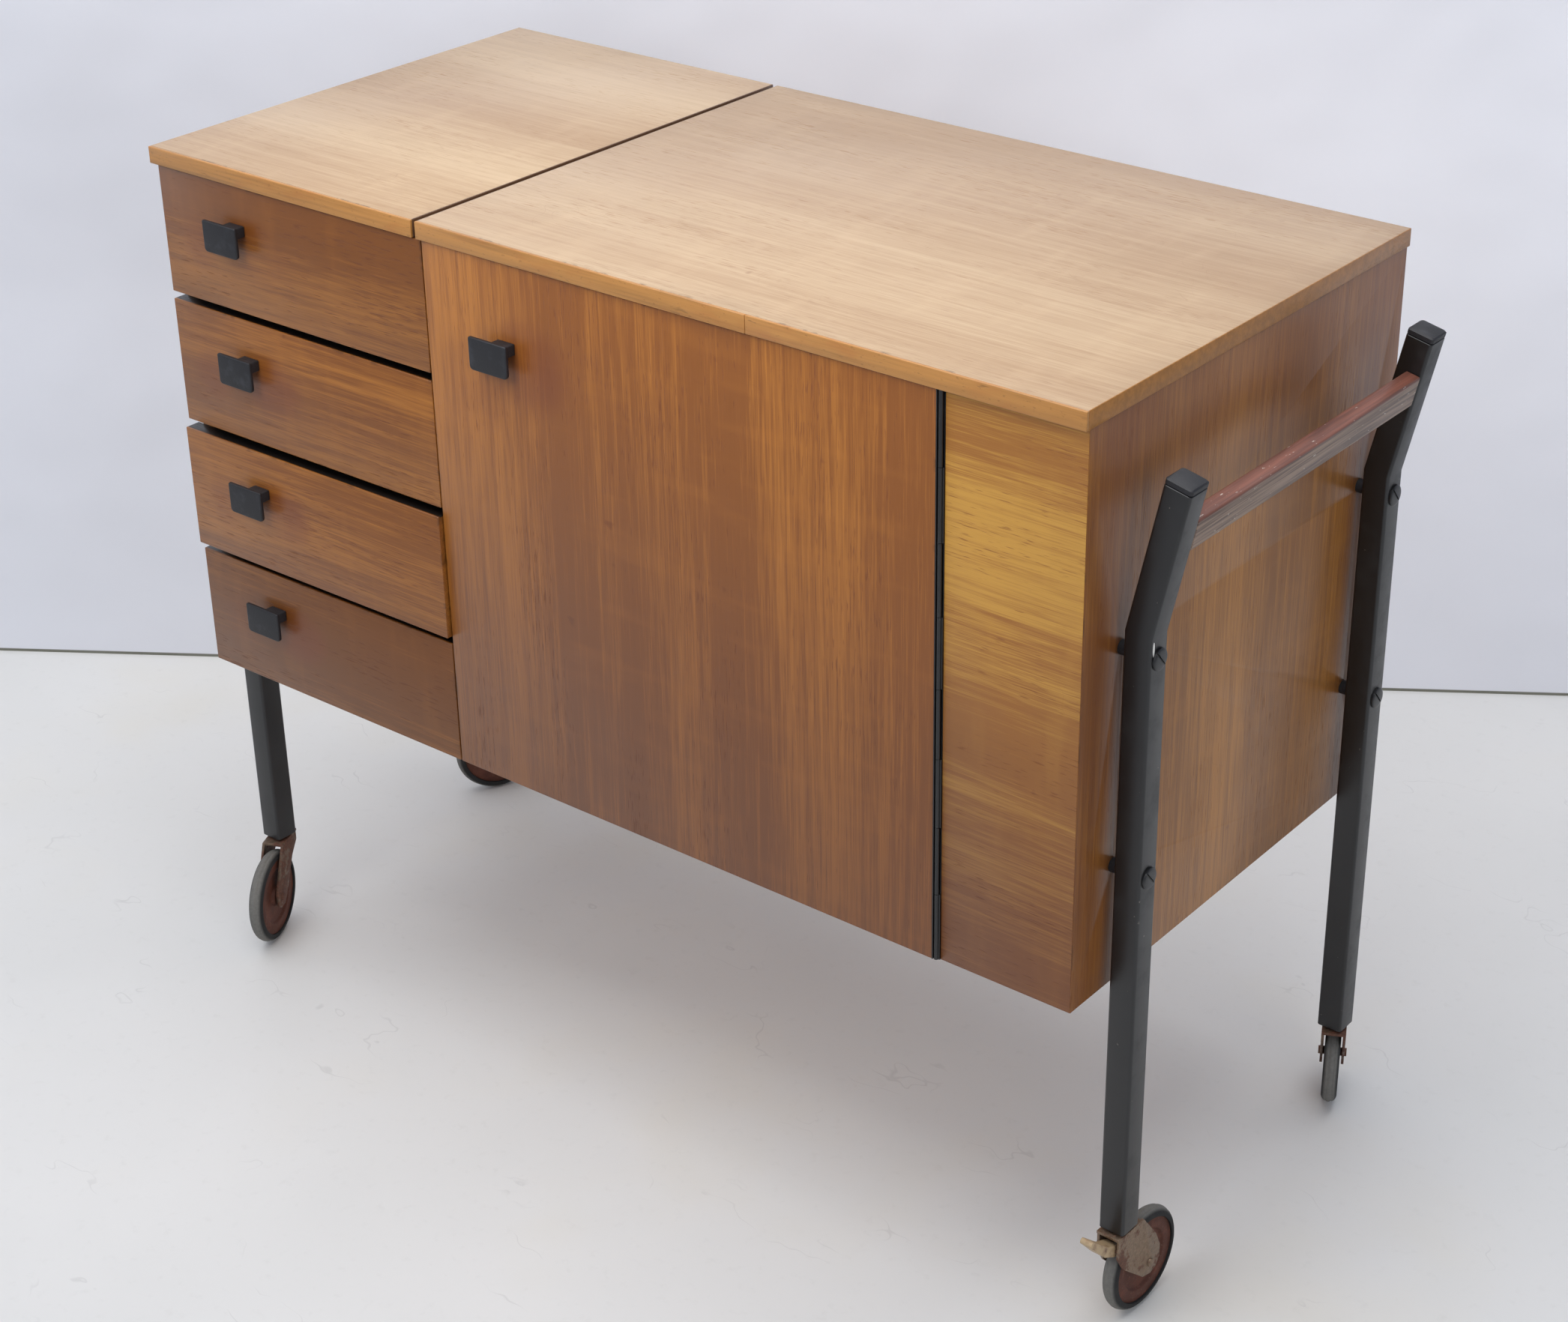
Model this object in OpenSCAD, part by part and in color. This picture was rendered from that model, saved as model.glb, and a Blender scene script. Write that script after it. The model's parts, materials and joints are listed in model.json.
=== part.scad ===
// Rolling sewing cabinet: four drawers, a hinged door, a lift-up lid and four casters.
// Cabinet coordinates: X from the left edge of the top, Y back from its front edge, Z up from the floor.

/* [Top] */
// Width of the whole top
top_w = 1030; // [960:1:1100]
// Depth of the top, front to back
top_d = 491; // [460:1:520]
// Height of the working surface above the floor
top_z = 875; // [840:1:900]
// Thickness of the carcass boards and of the top
board = 16; // [15:1:18]
// Middle of the seam between the left top and the lid, from the left edge
seam_x = 341.5; // [330:0.5:360]
// Gap between the left top and the lid
seam_gap = 5; // [3:0.5:6]
// Thickness of the solid strip on the front edge of the top
lipping = 3; // [2:0.5:5]

/* [Carcass] */
// Height of the carcass underside above the floor
body_z = 345.6; // [320:0.1:370]
// Overhang of the top past the left side panel
over_left = 7.5; // [5:0.5:10]
// Overhang of the top past the right side panel
over_right = 1; // [0.5:0.5:3]
// Distance from the front edge of the top back to the rear edge of the side panels
body_back = 488; // [470:1:488]
// Distance of the drawer and door faces behind the front edge of the top
front_set = 2.8; // [1:0.1:6]
// Distance of the fixed panel's face behind the front edge of the top
fixed_set = 6.3; // [4:0.1:8]
// Place of the joint between the drawers and the door
door_x = 347.3; // [340:0.1:350]
// Right edge of the door
door_end = 894; // [880:1:900]
// Thickness of the plywood back
back_t = 6; // [4:1:8]
// Height of the cupboard shelf above the floor
shelf_z = 560; // [480:1:620]

/* [Drawers] */
// Number of drawers
drawers = 4; // [4:1:4]
// Gap between one drawer front and the next
row_gap = 7.5; // [5:0.5:9]
// Depth of the drawer box behind its front
box_d = 430; // [380:1:440]
// Height of the drawer box
box_h = 92; // [70:1:95]
// Thickness of the drawer box sides
side_t = 10; // [8:1:12]
// How far the third drawer stands open
ajar = 4.5; // [0:0.5:10]

/* [Pulls] */
// Width of a pull's plate
pull_w = 44; // [36:1:50]
// Height of a pull's plate
pull_h = 30; // [24:1:36]
// Thickness of a pull's plate
pull_t = 4; // [3:0.5:5]
// Length of the neck that holds the plate off the front
neck_l = 9; // [6:0.5:12]

/* [Posts] */
// Outside width of the square steel tube
tube = 25; // [25:1:25]
// Wall of the square steel tube
tube_wall = 1.5; // [1:0.25:2]
// Distance from the top's front edge to the middle of the right front post
post_front_y = 61.4; // [55:0.1:70]
// Distance from the top's front edge to the middle of the left front leg
leg_front_y = 65; // [55:0.5:70]
// Distance from the top's front edge to the middle of the rear posts
post_rear_y = 435; // [420:1:440]
// Length of the spacers between the right panel and its posts
spacer_l = 9; // [6:0.5:16]
// Height of the lower end of each post above the floor
post_z = 106; // [106:1:106]
// Height at which the right posts bend outwards
kink_z = 679; // [676:1:690]
// Angle of the bend
kink_a = 12.5; // [8:0.5:16]
// Length of the tube above the bend
upper_l = 132; // [110:1:140]
// Height of the upper bolts
bolt_z_up = 658; // [650:1:662]
// Height of the lower bolts
bolt_z_low = 460.5; // [440:0.5:480]
// Width of the push bar across the tilt of the posts
bar_w = 14; // [12:1:18]
// Height of the push bar along the tilt of the posts
bar_h = 28; // [20:1:32]

/* [Casters] */
// Radius of the wheels
wheel_r = 49; // [49:1:49]
// Width of the tyres
tyre_w = 15; // [12:1:16]
// Distance from the swivel axis to the axle
trail = 34; // [30:1:36]
// Radius of the axle
axle_r = 4; // [3:0.5:5]

/* [Hidden] */
BOX_NODES = ["drawer_1_box", "drawer_2_box", "drawer_3_box", "drawer_4_box"];
FRONT_NODES = ["drawer_1_front", "drawer_2_front", "drawer_3_front", "drawer_4_front"];
PULL_NODES = ["drawer_1_pull", "drawer_2_pull", "drawer_3_pull", "drawer_4_pull"];
FORK_NODES = ["fork_front_left", "fork_rear_left", "fork_front_right", "fork_rear_right"];
DISC_NODES = ["wheel_front_left", "wheel_rear_left", "wheel_front_right", "wheel_rear_right"];
TYRE_NODES = ["tyre_front_left", "tyre_rear_left", "tyre_front_right", "tyre_rear_right"];

WOOD = "peru";
DARK_WOOD = "saddlebrown";
BLACK = "black";

// Main heights and places
lid_z = top_z - board;
front_top = lid_z - 1;
left_x = over_left;
right_x = top_w - over_right;
inner_right = right_x - board;
carcass_y = front_set + board + 0.7;
divider_x = door_x - board / 2;
partition_x = door_end - 5;
back_y = body_back - back_t;
floor_board_z = body_z + board;
row_h = (front_top - body_z - (drawers - 1) * row_gap) / drawers;
fixed_x = door_end + 4.5;
function row_z(i) = front_top - row_h - i * (row_h + row_gap);
function row_y(i) = i == 2 ? -ajar : 0;

// Posts: the right pair stands off its panel, the left pair lies against its own
right_post_x = right_x + spacer_l + tube / 2;
left_post_x = left_x - tube / 2;
post_ys = [post_front_y, post_rear_y];
leg_ys = [leg_front_y, post_rear_y];
leg_top = bolt_z_up + 34;
cap_h = 6;
bolt_head_r = 9.5;
bolt_r = 3.5;
spacer_r = 6.2;
bar_low = 74;

// Casters: swivel axis places and the way each wheel trails, in the order of FORK_NODES
caster_xs = [left_post_x, left_post_x, right_post_x, right_post_x];
caster_ys = concat(leg_ys, post_ys);
yaws = [295, 243, 88, 116.5];
fork_z = 101;
fork_t = 2.5;
fork_gap = tyre_w / 2 + 1.5;
stem_r = 5;
lever_pin = [-12, 88];
lever_pin_r = 2;
rim_r = wheel_r - 8;

// The object's frame: the middle of its outline on the floor
tyre_r = tyre_w / 2;
function reach(angle) = (wheel_r - tyre_r) * abs(angle) + tyre_r;
low_x = left_post_x + trail * cos(yaws[1]) - reach(cos(yaws[1]));
cap_n = (upper_l + cap_h) * sin(kink_a) + tube / 2 * cos(kink_a);
high_x = right_post_x + cap_n;
low_y = front_set - neck_l - pull_t - ajar;
rear_y = post_rear_y + trail * sin(yaws[3]) + reach(sin(yaws[3]));
mid_x = (low_x + high_x) / 2;
mid_y = (low_y + rear_y) / 2;
module cab() {
    translate([-mid_x, -mid_y, 0]) children();
}

// A board between two corners, in cabinet coordinates
module block(a, b) {
    cab() translate(a) cube(b - a);
}

// A flat outline in X and Z, with its thickness running back from y
module slab(y, depth) {
    translate([0, y + depth, 0]) rotate([90, 0, 0]) linear_extrude(depth) children();
}

// Carcass
module bolt_holes(x0, x1, r, ys) {
    cab()
        for (y = ys)
            for (z = [bolt_z_up, bolt_z_low])
                translate([x0, y, z]) rotate([0, 90, 0]) cylinder(h = x1 - x0, r = r, $fn = 48);
}
module left_side_panel() {
    color(WOOD)
        difference() {
            block([left_x, carcass_y, body_z], [left_x + board, body_back, lid_z]);
            bolt_holes(left_x - 1, left_x + 13, bolt_r, leg_ys);
        }
}
module right_side_panel() {
    color(WOOD)
        difference() {
            cab() translate([0, 0, body_z]) linear_extrude(lid_z - body_z)
                polygon([[right_x, fixed_set], [right_x, body_back], [inner_right, body_back],
                         [inner_right, carcass_y]]);
            bolt_holes(right_x - 13, right_x + 1, bolt_r, post_ys);
        }
}
module fixed_front_panel() {
    color(WOOD)
        cab() translate([0, 0, body_z]) linear_extrude(lid_z - body_z)
            polygon([[fixed_x + 1, fixed_set], [right_x, fixed_set], [inner_right, carcass_y],
                     [fixed_x + 1, carcass_y]]);
}
module divider_panel() {
    color(BLACK) block([divider_x, carcass_y, floor_board_z], [divider_x + board, back_y, lid_z]);
}
module hinge_partition() {
    color(BLACK) block([partition_x, carcass_y, floor_board_z], [partition_x + board, back_y, lid_z]);
}
module bottom_panel() {
    color(DARK_WOOD) block([left_x + board, carcass_y, body_z], [inner_right, back_y, floor_board_z]);
}
module back_panel() {
    color(DARK_WOOD) block([left_x + board, back_y, body_z], [inner_right, body_back, lid_z]);
}
module left_top() {
    color(WOOD) block([0, lipping, lid_z], [seam_x - seam_gap / 2, top_d, top_z]);
}
module left_top_lipping() {
    color("goldenrod") block([0, 0, lid_z], [seam_x - seam_gap / 2, lipping, top_z]);
}
module drawer_rails() {
    color(BLACK)
        for (i = [0 : drawers - 2])
            block([left_x + board, carcass_y, row_z(i) - row_gap / 2 - 7],
                  [divider_x, carcass_y + 20, row_z(i) - row_gap / 2 + 7]);
}
module drawer_runners() {
    color(DARK_WOOD)
        for (i = [0 : drawers - 1])
            for (x = [left_x + board, divider_x - 11])
                block([x, carcass_y + 20, box_z(i) - 9.3 + (i == drawers - 1 ? 3 : 0)],
                      [x + 11, back_y - 2, box_z(i) - 0.3]);
}
module cupboard_shelf() {
    color(DARK_WOOD)
        block([divider_x + board, carcass_y + 12, shelf_z], [partition_x, back_y, shelf_z + board]);
}
module shelf_cleats() {
    color(DARK_WOOD)
        for (x = [divider_x + board, partition_x - 14])
            block([x, carcass_y + 30, shelf_z - 14], [x + 14, back_y - 10, shelf_z]);
}

// Drawers
box_x = left_x + board + 2.5;
box_end = divider_x - 2.5;
function box_z(i) = row_z(i) + (i == drawers - 1 ? 26 : 13);
function box_top(i) = box_z(i) + (i == drawers - 1 ? box_h - 8 : box_h);
front_back = front_set + board;
cleat_z = 58;
module drawer_front(i) {
    color(WOOD)
        block([left_x, front_set + row_y(i), row_z(i)],
              [door_x - 0.8, front_back + row_y(i), row_z(i) + row_h]);
}
module drawer_box(i) {
    y0 = front_back + row_y(i);
    color(DARK_WOOD) {
        difference() {
            block([box_x, y0, box_z(i)], [box_end, y0 + box_d, box_top(i)]);
            block([box_x + side_t, y0 + side_t, box_z(i) - 1], [box_end - side_t, y0 + box_d - side_t, top_z]);
        }
        block([box_x + side_t, y0 + side_t, box_z(i) + 2], [box_end - side_t, y0 + box_d - side_t, box_z(i) + 7]);
        if (i == 0)
            for (x = [box_x + side_t, box_end - side_t - 6])
                block([x, y0 + side_t, box_z(i) + cleat_z - 8], [x + 6, y0 + box_d - side_t, box_z(i) + cleat_z]);
    }
}
tray_d = 150;
tray_h = 30;
module thread_tray() {
    y0 = front_back + side_t + 2;
    z0 = box_z(0) + cleat_z + 0.3;
    x0 = box_x + side_t + 1;
    x1 = box_end - side_t - 1;
    wall = 4;
    cell = (x1 - x0 - wall) / 3;
    color("burlywood")
        difference() {
            block([x0, y0, z0], [x1, y0 + tray_d, z0 + tray_h]);
            for (k = [0 : 2])
                block([x0 + wall + k * cell, y0 + wall, z0 + wall],
                      [x0 + (k + 1) * cell, y0 + tray_d - wall, top_z]);
        }
}

// Pulls: a flat plate hung in front of a neck at one end of its top
neck_w = 20;
neck_h = 10.5;
neck_drop = 0.5;
module pull(x, z, y) {
    color(BLACK) {
        block([x, y - neck_l - pull_t, z - pull_h], [x + pull_w, y - neck_l, z]);
        block([x + pull_w - neck_w, y - neck_l, z - neck_drop - neck_h],
              [x + pull_w - neck_drop, y, z - neck_drop]);
    }
}
pull_x = 76;
pull_drop = 35;
door_pull_x = 409;
door_pull_drop = 69;

// Door and its continuous hinge
leaf_t = 1;
door_left = door_x + 0.7;
knuckle_y = front_set + 2.2;
knuckle_x = (door_end + fixed_x) / 2;
knuckle_r = 2;
knuckles = 8;
knuckle_h = (front_top - body_z) / knuckles;
hinge_pin_r = 0.9;
running_fit = 0.06;
module door() {
    color(WOOD)
        block([door_left, front_set, body_z], [door_end - leaf_t, front_set + board, front_top]);
}
module knuckle_row(first) {
    for (k = [first : 2 : knuckles - 1])
        cab() translate([knuckle_x, knuckle_y, body_z + k * knuckle_h + 0.2])
            cylinder(h = knuckle_h - 0.4, r = knuckle_r, $fn = 40);
}
module door_hinge_leaf() {
    color(BLACK)
        difference() {
            union() {
                block([door_end - leaf_t, front_set, body_z], [door_end, front_set + board, front_top]);
                knuckle_row(1);
                for (k = [1 : 2 : knuckles - 1])
                    block([door_end - leaf_t, knuckle_y, body_z + k * knuckle_h + 0.2],
                          [knuckle_x, knuckle_y + knuckle_r, body_z + (k + 1) * knuckle_h - 0.2]);
            }
            cab() translate([knuckle_x, knuckle_y, body_z - 1])
                cylinder(h = front_top - body_z + 2, r = hinge_pin_r + running_fit, $fn = 40);
        }
}
module door_hinge_frame_leaf() {
    color(BLACK) {
        block([fixed_x, fixed_set, body_z], [fixed_x + leaf_t, carcass_y, front_top]);
        knuckle_row(0);
        for (k = [0 : 2 : knuckles - 1])
            block([knuckle_x, knuckle_y, body_z + k * knuckle_h + 0.2],
                  [fixed_x + leaf_t, knuckle_y + knuckle_r, body_z + (k + 1) * knuckle_h - 0.2]);
        cab() translate([knuckle_x, knuckle_y, body_z + 0.2])
            cylinder(h = front_top - body_z - 0.4, r = hinge_pin_r, $fn = 40);
    }
}
catch_z = 800;
module door_catch() {
    color("gray")
        block([divider_x + board, carcass_y + 4, catch_z], [divider_x + board + 14, carcass_y + 24, catch_z + 40]);
}
module door_strike() {
    color("silver")
        block([divider_x + board + 1, front_back, catch_z + 5],
              [divider_x + board + 13, front_back + 1.5, catch_z + 35]);
}

// Lid and its two hinges along the rear edge
lid_x = seam_x + seam_gap / 2;
lipping_joint = 709;
module lid() {
    color(WOOD) block([lid_x, lipping, lid_z], [top_w, top_d, top_z]);
}
module lid_lipping() {
    color("goldenrod") {
        block([lid_x, 0, lid_z], [lipping_joint - 0.2, lipping, top_z]);
        block([lipping_joint + 0.2, 0, lid_z], [top_w, lipping, top_z]);
    }
}
lid_hinge_xs = [470, 850];
lid_knuckle_l = 20;
lid_pin_y = top_d + 2.5;
lid_pin_z = lid_z - 2;
lid_knuckle_r = 2.8;
lid_pin_r = 1.25;
module lid_knuckle(x) {
    cab() translate([x + 0.2, lid_pin_y, lid_pin_z]) rotate([0, 90, 0])
        cylinder(h = lid_knuckle_l - 0.4, r = lid_knuckle_r, $fn = 40);
}
module lid_hinge_leaves() {
    color("gray")
        for (x = lid_hinge_xs)
            difference() {
                union() {
                    block([x, top_d, lid_z + 1.5], [x + 3 * lid_knuckle_l, top_d + 1.4, top_z - 3]);
                    lid_knuckle(x + lid_knuckle_l);
                    block([x + lid_knuckle_l + 0.2, top_d, lid_pin_z + 1.5],
                          [x + 2 * lid_knuckle_l - 0.2, top_d + 1.4, lid_z + 2]);
                }
                cab() translate([x - 1, lid_pin_y, lid_pin_z]) rotate([0, 90, 0])
                    cylinder(h = 3 * lid_knuckle_l + 2, r = lid_pin_r + running_fit, $fn = 40);
            }
}
module lid_hinge_frame_leaves() {
    color("gray")
        for (x = lid_hinge_xs) {
            block([x, body_back, lid_z - 28], [x + 3 * lid_knuckle_l, body_back + 1.4, lid_z - 1]);
            for (k = [0, 2]) {
                lid_knuckle(x + k * lid_knuckle_l);
                block([x + k * lid_knuckle_l + 0.2, body_back, lid_pin_z - 2.6],
                      [x + (k + 1) * lid_knuckle_l - 0.2, lid_pin_y, lid_pin_z - 1]);
            }
            cab() translate([x + 0.2, lid_pin_y, lid_pin_z]) rotate([0, 90, 0])
                cylinder(h = 3 * lid_knuckle_l - 0.4, r = lid_pin_r, $fn = 40);
        }
}

// Square tube outline of a bent post, in X and Z about its own middle line
function along(l, n) = [l * sin(kink_a) + n * cos(kink_a), kink_z + l * cos(kink_a) - n * sin(kink_a)];
function mitre(n) = [n, kink_z - n * tan(kink_a / 2)];
module bent_outline(half, low, extra) {
    polygon([[-half, low], [half, low], mitre(half), along(upper_l + extra, half),
             along(upper_l + extra, -half), mitre(-half)]);
}
module right_post(y) {
    inner = tube / 2 - tube_wall;
    color(BLACK)
        difference() {
            cab() translate([right_post_x, 0, 0]) slab(y - tube / 2, tube) bent_outline(tube / 2, post_z, 0);
            cab() translate([right_post_x, 0, 0]) slab(y - inner, 2 * inner) bent_outline(inner, post_z - 1, 1);
            bolt_holes(right_post_x - tube, right_post_x + tube, bolt_r + 0.1, [y]);
        }
}
module left_leg(y) {
    inner = tube / 2 - tube_wall;
    color(BLACK)
        difference() {
            block([left_post_x - tube / 2, y - tube / 2, post_z], [left_post_x + tube / 2, y + tube / 2, leg_top]);
            block([left_post_x - inner, y - inner, post_z - 1], [left_post_x + inner, y + inner, leg_top + 1]);
            bolt_holes(left_post_x - tube, left_post_x + tube, bolt_r + 0.1, [y]);
        }
}
module post_caps() {
    plug = tube / 2 - tube_wall;
    color(BLACK) {
        for (y = post_ys) {
            cab() translate([right_post_x, 0, 0]) slab(y - tube / 2, tube)
                polygon([along(upper_l, tube / 2), along(upper_l + cap_h, tube / 2),
                         along(upper_l + cap_h, -tube / 2), along(upper_l, -tube / 2)]);
            cab() translate([right_post_x, 0, 0]) slab(y - plug, 2 * plug)
                polygon([along(upper_l - 14, plug), along(upper_l + 1, plug),
                         along(upper_l + 1, -plug), along(upper_l - 14, -plug)]);
        }
        for (y = leg_ys) {
            block([left_post_x - tube / 2, y - tube / 2, leg_top],
                  [left_post_x + tube / 2, y + tube / 2, leg_top + cap_h]);
            block([left_post_x - plug, y - plug, leg_top - 14], [left_post_x + plug, y + plug, leg_top + 1]);
        }
    }
}
module post_spacers() {
    color(BLACK)
        cab()
            for (y = post_ys)
                for (z = [bolt_z_up, bolt_z_low])
                    translate([right_x, y, z]) rotate([0, 90, 0])
                        difference() {
                            cylinder(h = spacer_l, r = spacer_r, $fn = 48);
                            translate([0, 0, -1]) cylinder(h = spacer_l + 2, r = bolt_r + 0.1, $fn = 48);
                        }
}

// A slotted bolt with a low domed head; it points along +Z and its head's seat is at z = 0
module bolt(length) {
    dome_r = 26;
    head_h = 2.6;
    difference() {
        union() {
            translate([0, 0, -length]) cylinder(h = length + 0.5, r = bolt_r - 0.02, $fn = 48);
            intersection() {
                cylinder(h = head_h, r = bolt_head_r, $fn = 64);
                translate([0, 0, head_h - dome_r]) sphere(r = dome_r, $fn = 96);
            }
        }
        rotate([0, 0, 40]) translate([-bolt_head_r - 1, -0.9, head_h - 1.2]) cube([2 * bolt_head_r + 2, 1.8, 3]);
    }
}
module frame_bolts() {
    color(BLACK)
        cab()
            for (z = [bolt_z_up, bolt_z_low]) {
                for (y = post_ys)
                    translate([right_post_x + tube / 2, y, z]) rotate([0, 90, 0])
                        bolt(tube + spacer_l + 12);
                for (y = leg_ys)
                    translate([left_post_x - tube / 2, y, z]) rotate([0, -90, 0])
                        bolt(tube + 12);
            }
}
module push_bar() {
    outer_n = tube / 2 - 0.5;
    color("sienna")
        cab() translate([right_post_x, 0, 0])
            slab(post_front_y + tube / 2, post_rear_y - post_front_y - tube)
                polygon([along(bar_low, outer_n), along(bar_low + bar_h, outer_n),
                         along(bar_low + bar_h, outer_n - bar_w), along(bar_low, outer_n - bar_w)]);
}

// Casters, each about its swivel axis with the wheel trailing along local +X
module at_caster(i) {
    cab() translate([caster_xs[i], caster_ys[i], 0]) rotate([0, 0, yaws[i]]) children();
}
module caster_stems() {
    plug = tube / 2 - tube_wall;
    color("dimgray")
        for (i = [0 : 3]) {
            at_caster(i) {
                translate([0, 0, fork_z - 4]) cylinder(h = 3.6, r = 8, $fn = 48);
                translate([0, 0, fork_z - 1]) cylinder(h = 20, r = stem_r, $fn = 48);
                translate([0, 0, fork_z + 3]) cylinder(h = post_z - fork_z - 3, r = 9, $fn = 48);
            }
            cab() translate([caster_xs[i] - plug, caster_ys[i] - plug, post_z - 0.5])
                cube([2 * plug, 2 * plug, 32]);
        }
}
// A wide cheek carries the brake; a plain cheek narrows towards the axle
module cheek_outline(wide) {
    if (wide) {
        polygon([[-15, fork_z + fork_t], [22, fork_z + fork_t], [42, 76], [49, 60], [49, 47], [44, 39],
                 [36, 36], [24, 39], [-6, 66], [-15, 82]]);
    } else {
        polygon([[-14, fork_z + fork_t], [20, fork_z + fork_t], [trail + 10, 58], [trail + 10, 42],
                 [trail + 5, 38], [trail - 5, 38], [trail - 11, 44], [0, 80], [-14, 92]]);
    }
}
module fork(i) {
    brake = i == 2;
    color("dimgray")
        at_caster(i)
            difference() {
                union() {
                    translate([-16, -fork_gap - fork_t, fork_z]) cube([36, 2 * (fork_gap + fork_t), fork_t]);
                    for (y = [-fork_gap - fork_t, fork_gap]) slab(y, fork_t) cheek_outline(brake);
                    translate([trail, fork_gap + fork_t + 2, wheel_r]) rotate([90, 0, 0])
                        cylinder(h = 2 * (fork_gap + fork_t + 2), r = axle_r, $fn = 48);
                    if (brake)
                        translate([lever_pin[0], fork_gap + fork_t, lever_pin[1]]) rotate([90, 0, 0])
                            cylinder(h = 2 * (fork_gap + fork_t), r = lever_pin_r, $fn = 40);
                }
                translate([0, 0, fork_z - 1]) cylinder(h = fork_t + 2, r = stem_r + running_fit, $fn = 48);
            }
}
// Pressed disc with a hub, a web that steps in, and a raised ring under the tyre
module disc(i) {
    color("sienna")
        at_caster(i) translate([trail, 0, wheel_r]) rotate([90, 0, 0])
            rotate_extrude($fn = 96)
                polygon([[axle_r + running_fit, -6.5], [10, -6.5], [11, -3], [28, -3], [30, -5.5],
                         [rim_r, -5.5], [rim_r, 5.5], [30, 5.5], [28, 3], [11, 3], [10, 6.5],
                         [axle_r + running_fit, 6.5]]);
}
module tyre(i) {
    color(BLACK)
        at_caster(i) translate([trail, 0, wheel_r]) rotate([90, 0, 0])
            rotate_extrude($fn = 96)
                intersection() {
                    translate([wheel_r - tyre_r, 0]) circle(r = tyre_r, $fn = 48);
                    translate([rim_r, -tyre_r]) square([wheel_r - rim_r, tyre_w]);
                }
}
// Brake lever: a hub on the fork's pin, a thick arm up to a knee and a thinner tab for the toe
module brake_lever() {
    hub_r = 5.6;
    knee_r = 4.6;
    tip_r = 2.8;
    width = 13;
    knee = [lever_pin[0] - 14, lever_pin[1] + 7];
    tip = [lever_pin[0] - 34, lever_pin[1] + 27];
    color("tan")
        at_caster(2)
            difference() {
                slab(-width / 2, width) {
                    hull() {
                        translate(lever_pin) circle(r = hub_r, $fn = 40);
                        translate(knee) circle(r = knee_r, $fn = 40);
                    }
                    hull() {
                        translate(knee) circle(r = knee_r, $fn = 40);
                        translate(tip) circle(r = tip_r, $fn = 40);
                    }
                }
                translate([lever_pin[0], width, lever_pin[1]]) rotate([90, 0, 0])
                    cylinder(h = 2 * width, r = lever_pin_r + running_fit, $fn = 40);
            }
}

left_side_panel();
right_side_panel();
fixed_front_panel();
divider_panel();
hinge_partition();
bottom_panel();
back_panel();
left_top();
left_top_lipping();
drawer_rails();
drawer_runners();
cupboard_shelf();
shelf_cleats();
right_post(post_front_y);  // post_front_right
right_post(post_rear_y);  // post_rear_right
left_leg(leg_front_y);  // leg_front_left
left_leg(post_rear_y);  // leg_rear_left
post_caps();
post_spacers();
frame_bolts();
push_bar();
caster_stems();
lid_hinge_frame_leaves();
door_hinge_frame_leaf();
door_catch();
lid();
lid_lipping();
lid_hinge_leaves();
door();
pull(door_pull_x, front_top - door_pull_drop, front_set);  // door_pull
door_hinge_leaf();
door_strike();
thread_tray();
brake_lever();
for (i = [0 : drawers - 1]) drawer_front(i);
for (i = [0 : drawers - 1]) drawer_box(i);
for (i = [0 : drawers - 1])
    pull(pull_x, row_z(i) + row_h - pull_drop, front_set + row_y(i));
for (i = [0 : 3]) fork(i);
for (i = [0 : 3]) disc(i);
for (i = [0 : 3]) tyre(i);
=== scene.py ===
"""Rolling sewing cabinet: the visible pieces and their finishes, laid out as a Blender add-on."""
import json
import math

import bpy
from bpy.props import FloatProperty, FloatVectorProperty, PointerProperty
from mathutils import Euler, Matrix, Vector


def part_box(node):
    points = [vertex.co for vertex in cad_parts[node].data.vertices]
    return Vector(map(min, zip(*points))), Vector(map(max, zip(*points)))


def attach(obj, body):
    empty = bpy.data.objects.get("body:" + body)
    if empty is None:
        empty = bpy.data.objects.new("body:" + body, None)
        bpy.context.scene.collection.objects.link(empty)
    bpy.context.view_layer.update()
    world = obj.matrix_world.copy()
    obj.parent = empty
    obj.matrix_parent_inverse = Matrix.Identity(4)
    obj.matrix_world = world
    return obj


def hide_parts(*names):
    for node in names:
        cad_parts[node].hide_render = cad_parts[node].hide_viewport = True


bl_info = {
    "name": "Rolling Sewing Cabinet",
    "version": (1, 0, 0),
    "blender": (4, 5, 0),
    "location": "View3D > Sidebar > Cabinet",
    "description": "Veneered sewing cabinet on casters, with drawers, a door, a lid and a push bar",
    "category": "Object",
}

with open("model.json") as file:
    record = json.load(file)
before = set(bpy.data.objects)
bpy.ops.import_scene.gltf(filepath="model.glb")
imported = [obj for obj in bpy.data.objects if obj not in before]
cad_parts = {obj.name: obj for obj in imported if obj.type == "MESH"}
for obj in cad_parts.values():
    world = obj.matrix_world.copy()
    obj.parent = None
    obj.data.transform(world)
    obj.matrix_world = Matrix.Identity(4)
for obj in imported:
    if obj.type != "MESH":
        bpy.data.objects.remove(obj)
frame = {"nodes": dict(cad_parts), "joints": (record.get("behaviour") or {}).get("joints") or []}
NODES = frame["nodes"]
JOINTS = {joint["name"]: joint for joint in frame["joints"]}
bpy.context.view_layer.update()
CORNERS = ("front_left", "rear_left", "front_right", "rear_right")
CAMERA_PLACE = (1.5494, -1.8631, 1.6945)
CAMERA_TURN = (62.383, 0.390, 37.811)
CAMERA_LENS = 66.14
CAMERA_SHIFT = (-0.0408, -0.0147)
BACKDROP_FOOT = (-0.78, 0.348)
BACKDROP_TURN = math.radians(33.6)
STAGE_SIZE = 9.0


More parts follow.
